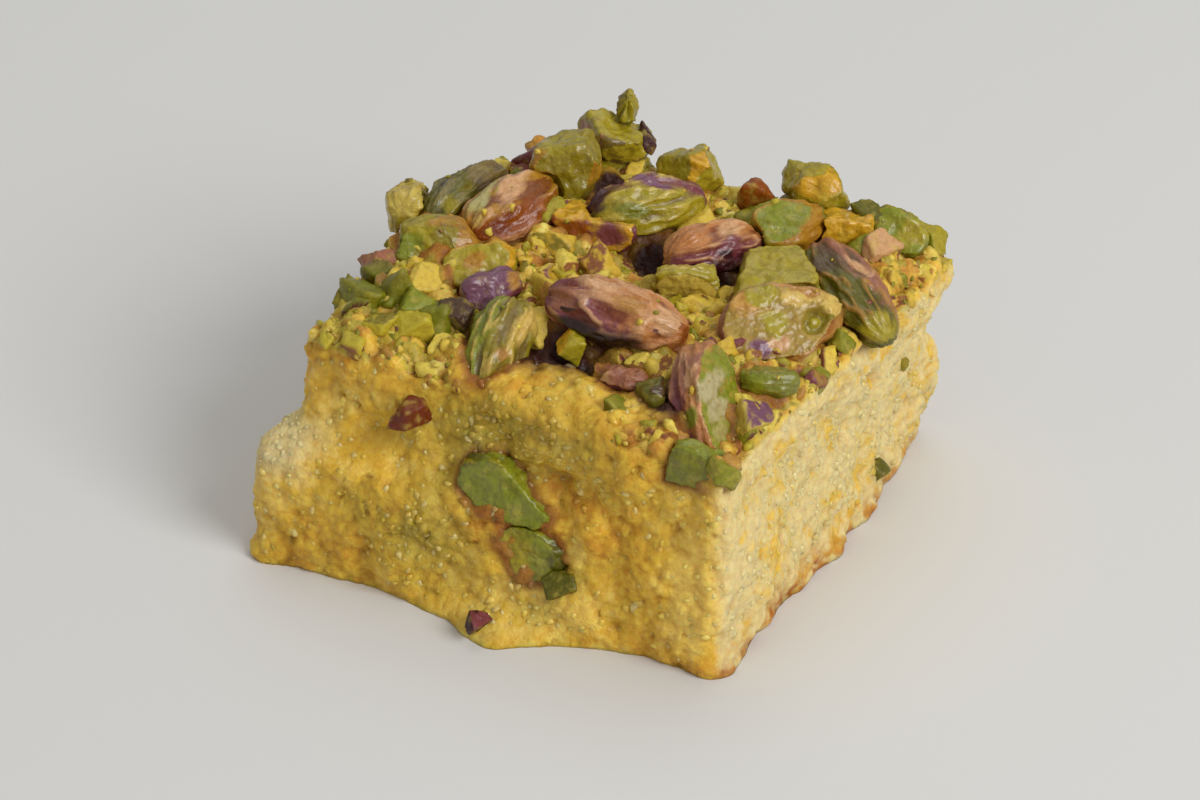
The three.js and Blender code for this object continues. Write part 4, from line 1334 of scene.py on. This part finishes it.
# What shows on single kernels, in millimetres: place, reach, colour, and how deep its hollow is. Some spots
# are painted shade or painted sheen, as marked.
SPOTS = {
    "kernel_red": (
        ((1, -10.5, 31.5), (2.4, 2.4, 1.4), "rose", 0.0),
        ((5, -8.4, 33), (3.4, 1, 1), "pink", -0.15),
        ((8.8, -9.6, 32.4), (2.4, 1.1, 1), "tan", 0.0),
        ((13, -8.6, 31), (2.4, 2.4, 1.6), "pink", 0.0),
        ((15, -8, 29), (1.4, 1.6, 1.6), "brick", 0.0),
        # Painted shade: the underside's plum is partly the skin's purple, and the shade spot is shade below
        # the left end.
        ((8, -12.4, 28.4), (9, 2, 2), "plum", 0.0),
        ((3.4, -12.2, 28.8), (5.4, 1.8, 1.9), "shade", 0.0),
    ),
    "kernel_tan": (
        ((24, 2, 31), (4, 2, 1), "tan", 0.0),
        ((19.4, -2.6, 30.8), (3.4, 2.4, 1), "rim", -0.25),
        ((22.4, 0.4, 30.6), (3, 1, 1), "sand", -0.2),
        ((26.6, 2.6, 29.6), (1.6, 2, 1.4), "sand", -0.25),
        ((25.6, 0, 29), (1.5, 1.5, 1.5), "olive", 0.7),
        ((25.6, 0, 29), (0.6, 0.6, 0.6), "lime", -0.4),
        ((21.4, -5.2, 27.4), (1.6, 1.4, 1.2), "violet", 0.0),
        ((23.2, -3.6, 27.8), (1.2, 1.0, 1.0), "pink", 0.0),
        ((20.4, -1.2, 31.2), (2, 2, 1), "lime", 0.0),
        ((22.2, -2.6, 29.2), (1.6, 1.6, 1.2), "lime", 0.0),
    ),
    "kernel_front": (
        ((19.8, -20, 27.6), (1, 1.2, 1.6), "leaf", 0.0),
        ((17.2, -12.4, 31.2), (2, 2, 1.2), "peach", 0.0),
        ((18.2, -16.8, 30), (0.9, 3, 0.9), "pink", -0.15),
        ((18.9, -18.6, 29), (0.8, 1.2, 1), "peach", 0.0),
        # Painted sheen: pale streaks over the green face of the kernel.
        ((20.6, -16, 29.2), (1.3, 3.2, 1.4), "pale_sheen", -0.1),
        ((21.9, -17.2, 27.4), (1.3, 2.4, 1.6), "pale_sheen", 0.0),
        ((22.9, -18.8, 26), (1, 1.6, 1.2), "sage", 0.0),
        # Partly purple skin, partly painted shade at the left and the foot of the kernel.
        ((17.4, -18.8, 27.4), (1.2, 1.6, 2), "purple", 0.0),
        ((20.4, -21, 25), (1.6, 1, 1.4), "purple", 0.0),
    ),
    "kernel_dark": (
        ((28.9, 9.4, 29.2), (1.6, 1.2, 1), "rose", 0.0),
        ((26.7, 10.2, 30.2), (2.4, 1, 1), "pink", 0.0),
        # Painted shade: a dark spot where the kernel lies in shadow.
        ((22, 8.6, 29.8), (2, 1.6, 1.6), "bark", 0.0),
        ((31.2, 4.4, 26.6), (2.2, 2.6, 1.8), "lime", 0.0),
    ),
    "kernel_ridged": (
        ((1.6, 13.2, 32.4), (4.4, 0.8, 0.8), "violet", 0.0),
        ((-3.8, 9.8, 30.4), (2, 2, 2), "plum", 0.0),
        ((0.5, 9.8, 30.6), (2.4, 1.4, 1), "green", 0.0),
    ),
    "kernel_pink": (
        ((9, 5.8, 31.8), (2.4, 2.4, 1.6), "peach", 0.0),
        ((12.2, 9, 31.6), (1.4, 1.8, 1), "pink", 0.0),
        ((13.2, 7, 30.3), (1.6, 2.2, 1.6), "purple", 0.0),
        # Purple skin darkened as painted shade low at the left.
        ((12.4, 5.4, 28.6), (2.6, 2.4, 1.6), "plum", 0.0),
    ),
    "kernel_orange": (
        ((-11.8, 5.6, 32.6), (1.6, 4, 1.2), "pink", -0.15),
        ((-9.4, 3.4, 30.6), (1.4, 4, 1.6), "brick", 0.2),
        ((-14.6, 4.4, 31.4), (1.2, 3.6, 1.4), "sage", 0.0),
        ((-13.6, -0.6, 31), (1.4, 2.4, 1.2), "sand", 0.0),
    ),
    "kernel_grey": (
        ((-17, 6.2, 31.6), (1.3, 3, 1), "olive", 0.5),
        ((-18, 3, 30.4), (1.4, 1.6, 1), "lime", 0.0),
    ),
    "chunk_smooth": (
        ((-18.8, -4.6, 29.6), (2, 3, 1.4), "leaf", 0.0),
        ((-15.4, -3.3, 30.6), (1.6, 2.4, 1.6), "olive", 0.0),
        ((-13, -2, 30.4), (1, 2.4, 1.6), "amber", 0.0),
    ),
    "half_red": (
        ((-4.4, 5.8, 28.8), (2.4, 1.4, 1.6), "brick", 0.0),
        ((-0.6, 6.4, 29), (2, 1.6, 1.6), "purple", 0.0),
    ),
    "chunk_tall": (
        ((-8.4, 12.4, 30), (2.4, 1.6, 2.4), "olive", 0.0),
        ((-9.9, 14.8, 33.7), (3, 3, 1), "lime", 0.0),
    ),
    "chunk_olive": (((19.2, 15.2, 29.6), (1.6, 2, 2), "amber", 0.0),),
    "chunk_rear": (((-10, 22.6, 31), (1.6, 2, 1), "rose", 0.0),),
    "chunk_right": (((28.4, 20.6, 28.4), (1.8, 2, 1.4), "lime", 0.0),),
    "sliver_lime": (((-11.2, -5, 29.8), (1.4, 1.6, 1.4), "amber", 0.0),),
    "sliver_purple": (((-5.6, -6.8, 30), (1.2, 1.4, 1.2), "tan", 0.0),),
    "kernel_edge": (
        ((-2.2, -17.6, 28.2), (0.9, 0.9, 0.9), "tan", 0.0),
        ((-1.6, -13, 29), (1.4, 4, 1.4), "sand", 0.0),
        ((-6.6, -16.5, 27.4), (1.2, 4, 2), "leaf", 0.0),
    ),
    "half_side": (
        ((2.2, -25, 9), (2.6, 2, 2.8), "lime", 0.0),
        ((7.4, -24.6, 8.4), (1.6, 2, 2.4), "moss", 0.0),
    ),
}


def fibre_group():
    """A pistachio's skin and cut flesh: blush, pale crests of painted highlight, dark furrows of painted
    shade and fine streaks along it.
    """
    if "Pistachio Skin" in bpy.data.node_groups:
        return bpy.data.node_groups["Pistachio Skin"]
    usual = {"Skin": "olive", "Blush": "peach", "Crest": "sand", "Furrow": "bark", "Flesh": "lime"}
    inputs = {title: srgb(COLOURS[tint]) for title, tint in usual.items()}
    inputs["Crest Share"] = 0.65
    tree, given, leave = new_group("Pistachio Skin", inputs, {"Color": COLOUR, "Height": NUMBER})
    lie = attribute(tree, "lie", "Vector")
    place = object_place(tree)
    streaks = grainy(tree, lie, 0.45 * MM, 4.0, 0.6)
    patches = grainy(tree, place, 1.6 * MM, 4.0, 0.6)
    blush = sums(tree, "ADD", attribute(tree, "blush"), minus(tree, patches, 0.5))
    skin = mixed(tree, band(tree, blush, 0.3, 0.75), given["Skin"], given["Blush"])
    high = scaled_sum(tree, minus(tree, streaks, 0.5), 0.9, attribute(tree, "wrinkle"))
    # The crests are painted highlight along the ridges, and the furrows are painted shade in the creases.
    crest_highlight = times(tree, band(tree, high, 0.2, 0.75), given["Crest Share"])
    skin = mixed(tree, crest_highlight, skin, given["Crest"])
    furrow_shade = times(tree, band(tree, times(tree, high, -1.0), 0.2, 0.75), 0.8)
    skin = mixed(tree, furrow_shade, skin, given["Furrow"])
    pale = times(tree, band(tree, patches, 0.45, 0.75), 0.5)
    inner = mixed(tree, pale, given["Flesh"], srgb(COLOURS["cream"]))
    dull = times(tree, band(tree, grainy(tree, place, 0.8 * MM, 3.0), 0.5, 0.7), 0.35)
    inner = mixed(tree, dull, inner, given["Skin"])
    colour = mixed(tree, attribute(tree, "cut"), skin, inner)
    colour = mixed(tree, attribute(tree, "spot"), colour, attribute(tree, "spot colour", "Color"))
    tree.links.new(colour, leave.inputs["Color"])
    lined = times(tree, streaks, minus(tree, 1.0, attribute(tree, "cut")))
    fine = scaled_sum(tree, grainy(tree, place, 0.4 * MM, 3.0), 0.8, lined)
    tree.links.new(fine, leave.inputs["Height"])
    return tree


def kernel_material(name, look):
    material, tree, shader = new_material(name.replace("_", " ") + " finish")
    skin, blush, _, crest_highlight, furrow_shade, flesh = look
    tints = zip(("Skin", "Blush", "Crest", "Furrow", "Flesh"), (skin, blush, crest_highlight, furrow_shade, flesh))
    painted = use_group(tree, fibre_group(), {title: srgb(COLOURS[tint]) for title, tint in tints})
    add_mottled(tree, shader, painted["Color"], (0.66, 0.52, 0.4), 0.7 * MM, 0.55)
    wetness = add_syrup(tree, shader, 0.6, 0.55, 0.28)
    tree.links.new(times(tree, wetness, 0.5), shader.inputs["Coat Weight"])
    shader.inputs["Coat Roughness"].default_value = 0.2
    add_bump(tree, shader, painted["Height"], 0.22 * MM, 0.8)
    set_translucent(shader, 0.18, (0.9, 0.8, 0.3), 1.0 * MM)
    return material


def merged_copy(node):
    """A copy of a CAD node's mesh with its loose triangles joined, as quads where they pair up."""
    shape = bmesh.new()
    shape.from_mesh(node.data)
    bmesh.ops.remove_doubles(shape, verts=shape.verts, dist=0.01 * MM)
    bmesh.ops.dissolve_limit(
        shape, angle_limit=math.radians(2), verts=shape.verts, edges=shape.edges, delimit={"NORMAL"}
    )
    return shape


# A flat face of more than this share of a pistachio's skin is a cut, and its edge stays this sharp.
CUT_SHARE = 0.045
CUT_CREASE = 0.9


def cut_faces(shape):
    """The flat faces that a knife left: those much larger than a facet of the skin."""
    total = sum(face.calc_area() for face in shape.faces)
    return {face.index for face in shape.faces if face.calc_area() > CUT_SHARE * total}


def fine_nut(name, node, cell):
    """A finely meshed, rounded copy of a pistachio, and how far each point is in a cut face."""
    shape = merged_copy(node)
    shape.faces.ensure_lookup_table()
    shape.faces.index_update()
    cut = cut_faces(shape)
    crease = shape.edges.layers.float.new("crease_edge")
    for edge in shape.edges:
        if any(face.index in cut for face in edge.link_faces):
            edge[crease] = CUT_CREASE
    flags = [face.index in cut for face in shape.faces]
    tree = BVHTree.FromBMesh(shape)
    mesh = bpy.data.meshes.new(name + " rough")
    shape.to_mesh(mesh)
    shape.free()
    rough = new_object(name + " rough", mesh)
    rounded = rough.modifiers.new("round", "SUBSURF")
    rounded.levels = rounded.render_levels = 2
    even = rough.modifiers.new("even", "REMESH")
    even.mode = "VOXEL"
    even.voxel_size = cell
    fine = evaluated_mesh(rough, name)
    bpy.data.objects.remove(rough)
    bpy.data.meshes.remove(mesh)
    flags_at = [flags[tree.find_nearest(v.co)[2]] for v in fine.vertices]
    return fine, np.array(flags_at, float)


def smoothed(mesh, points, rounds, keep):
    """Points drawn towards their neighbours, except those to keep."""
    ends = np.empty(len(mesh.edges) * 2, int)
    mesh.edges.foreach_get("vertices", ends)
    first, second = ends.reshape(-1, 2).T
    count = np.bincount(ends, minlength=len(points))[:, None]
    for _ in range(rounds):
        total = np.zeros_like(points)
        for axis in range(3):
            total[:, axis] = np.bincount(first, points[second, axis], len(points))
            total[:, axis] += np.bincount(second, points[first, axis], len(points))
        points = points + (total / count - points) * 0.6 * (1 - keep)[:, None]
    return points


def long_axes(points):
    """A kernel's middle and its long, wide and thin directions as columns."""
    middle = points.mean(0)
    _, axes = np.linalg.eigh(np.cov((points - middle).T))
    axes = axes[:, ::-1]
    signs = np.sign(axes[np.argmax(abs(axes), axis=0), np.arange(3)])
    return middle, axes * signs


# How far apart the fields of two pistachios lie, so that no two have the same wrinkles.
OWN_SHIFT = 13.7


def spots_on(name, points, fine, height):
    """Where a pistachio's spots are and their colours. The height is lowered in the hollow ones."""
    spot = np.zeros(len(points))
    spot_colour = np.zeros((len(points), 3))
    for at, reach, colour, hollow in SPOTS.get(name, ()):
        share = step(hill(points, at, reach) + 0.25 * fine, 0.25, 0.7)
        height -= hollow * share
        spot = np.maximum(spot, share)
        spot_colour = np.where(share[:, None] > 0.02, srgb(COLOURS[colour]), spot_colour)
    return spot, spot_colour


def dress_nut(mesh, name, cut, settings, seed):
    """Wrinkles, swellings and the painted masks of one pistachio."""
    points = smoothed(mesh, points_of(mesh), 6, cut * 0.8)
    move_points(mesh, points)
    out = vectors_of(mesh, "normal")
    middle, axes = long_axes(points)
    local = (points - middle) @ axes
    round_about = local[:, 1:] / (np.linalg.norm(local[:, 1:], axis=1)[:, None] + 0.3)
    lie = np.column_stack((local[:, 0] / 4, 2.6 * round_about))
    own = seed * OWN_SHIFT
    chopped = not name.startswith("kernel")
    swell = cloud(local / 5 + own, 1)
    ridges = np.array([
        noise.ridged_multi_fractal(p, 0.9, 2.1, 3, 0.9, 1.6) for p in (lie / 1.5 + own).tolist()
    ])
    ridges = np.clip((ridges - np.median(ridges)) / (1.6 * ridges.std() + 1e-6), -1, 1)
    ridges *= 1 - np.clip(abs(local[:, 0]) / abs(local[:, 0]).max(), 0, 1) ** 4
    ridges *= 0.45 if chopped else 1.0
    fine = cloud(lie / 0.6 + own, 2)
    skin = 1 - cut
    wrinkle = settings.wrinkle / MM
    rough = cloud(local / 0.9 + own, 2)
    height = settings.swell / MM * swell * (0.35 + 0.65 * skin)
    height += 0.35 * cloud(local / 2.2 + own, 2) * chopped
    height += wrinkle * (ridges * skin + 0.5 * fine * skin + 0.5 * rough * cut)
    blush_to = np.array(LOOKS[name][2], float)
    blush_to /= np.linalg.norm(blush_to)
    facing = (points - middle) @ blush_to
    blush = step(facing / (abs(facing).max() + 1e-6), -0.5, 0.7)
    spot, spot_colour = spots_on(name, points, fine, height)
    move_points(mesh, points + out * height[:, None])
    paint(mesh, "cut", cut)
    paint(mesh, "topping", step(out[:, 2], 0.2, 0.7) * step(cloud(points / 3.5 + 71, 2), -0.1, 0.5))
    paint(mesh, "wrinkle", ridges * skin)
    paint(mesh, "blush", blush)
    paint(mesh, "spot", spot)
    paint_colour(mesh, "spot colour", np.column_stack((spot_colour, np.ones(len(points)))))
    paint(mesh, "lie", lie * MM, "FLOAT_VECTOR", "vector")


class CAKE_OT_pistachios(bpy.types.Operator):
    """Make the whole, halved and chopped pistachios that can be told apart"""

    bl_idname = "cake.pistachios"
    bl_label = "Pistachios"

    def execute(self, context):
        settings = context.scene.cake_pistachios
        for seed, (name, look) in enumerate(LOOKS.items()):
            mesh, cut = fine_nut(name, frame["nodes"][name], settings.cell)
            dress_nut(mesh, name, cut, settings, seed)
            finish_piece("fine_" + name, mesh, kernel_material(name, look), [name])
        return {"FINISHED"}


# The studio.

CAMERA_AT = Vector((216.2, -485.9, 370.9)) * MM
AIM_AT = Vector((1.5, -1, 13)) * MM

# The two lights: place and width in metres. The top light has a share of the key light's power.
KEY_LIGHT = ((0.82, -0.29, 0.7), 0.63)
TOP_LIGHT = ((-0.1, 0.35, 0.8), 0.7)
TOP_LIGHT_SHARE = 0.17
FLOOR_RADIUS = 4


def look_from(thing, at):
    """Puts a camera or a light at a place and aims it at the middle of the cake."""
    thing.location = at
    thing.rotation_euler = (AIM_AT - Vector(at)).to_track_quat("-Z", "Y").to_euler()


def area_light(name, at, size, power):
    lamp = bpy.data.lights.new(name, "AREA")
    lamp.shape = "DISK"
    lamp.size = size
    lamp.energy = power
    look_from(new_object(name, lamp), at)


def floor_material(colour):
    material, tree, shader = new_material("matt floor")
    haze = grainy(tree, object_place(tree), 0.3, 2.0)
    darker = tuple(c * 0.97 for c in colour)
    tree.links.new(mixed(tree, haze, colour, darker), shader.inputs["Base Color"])
    shader.inputs["Roughness"].default_value = 0.75
    return material


class CAKE_OT_studio(bpy.types.Operator):
    """Make the camera, the pale floor and the soft lights"""

    bl_idname = "cake.studio"
    bl_label = "Studio"

    def execute(self, context):
        scene = context.scene
        settings = scene.cake_studio
        lens = bpy.data.cameras.new("camera")
        lens.lens = settings.lens
        camera = new_object("camera", lens)
        look_from(camera, CAMERA_AT)
        scene.camera = camera
        disc = bmesh.new()
        bmesh.ops.create_circle(disc, cap_ends=True, segments=96, radius=FLOOR_RADIUS)
        mesh = bpy.data.meshes.new("floor")
        disc.to_mesh(mesh)
        disc.free()
        mesh.materials.append(floor_material(settings.floor))
        new_object("floor", mesh)
        area_light("key light", *KEY_LIGHT, settings.key)
        area_light("top light", *TOP_LIGHT, settings.key * TOP_LIGHT_SHARE)
        world = bpy.data.worlds.new("studio air")
        world.use_nodes = True
        air = world.node_tree.nodes["Background"]
        air.inputs["Color"].default_value = (*settings.air, 1)
        air.inputs["Strength"].default_value = settings.fill
        scene.world = world
        scene.view_settings.view_transform = "Standard"
        return {"FINISHED"}


OPERATORS = (CAKE_OT_studio, CAKE_OT_crumb, CAKE_OT_semolina, CAKE_OT_pistachios, CAKE_OT_chopped)
SETTINGS = {
    "cake_crumb": CrumbProperties,
    "cake_semolina": SemolinaProperties,
    "cake_pistachios": PistachioProperties,
    "cake_chopped": ChoppedProperties,
    "cake_studio": StudioProperties,
}


class CAKE_PT_panel(bpy.types.Panel):
    """Lists the pieces of the cake and their sizes and colours"""

    bl_label = "Semolina Cake"
    bl_idname = "CAKE_PT_panel"
    bl_space_type = "VIEW_3D"
    bl_region_type = "UI"
    bl_category = "Semolina Cake"

    def draw(self, context):
        for operator in OPERATORS:
            self.layout.operator(operator.bl_idname)
        for name, kind in SETTINGS.items():
            box = self.layout.box()
            for title in kind.__annotations__:
                box.prop(getattr(context.scene, name), title)


CLASSES = (*SETTINGS.values(), *OPERATORS, CAKE_PT_panel)


def register():
    for kind in CLASSES:
        bpy.utils.register_class(kind)
    for name, kind in SETTINGS.items():
        setattr(bpy.types.Scene, name, PointerProperty(type=kind))


def unregister():
    for name in SETTINGS:
        delattr(bpy.types.Scene, name)
    for kind in reversed(CLASSES):
        bpy.utils.unregister_class(kind)


def main():
    register()
    bpy.ops.cake.studio()
    bpy.ops.cake.crumb()
    bpy.ops.cake.semolina()
    bpy.ops.cake.pistachios()
    bpy.ops.cake.chopped()


if __name__ == "__main__":
    main()
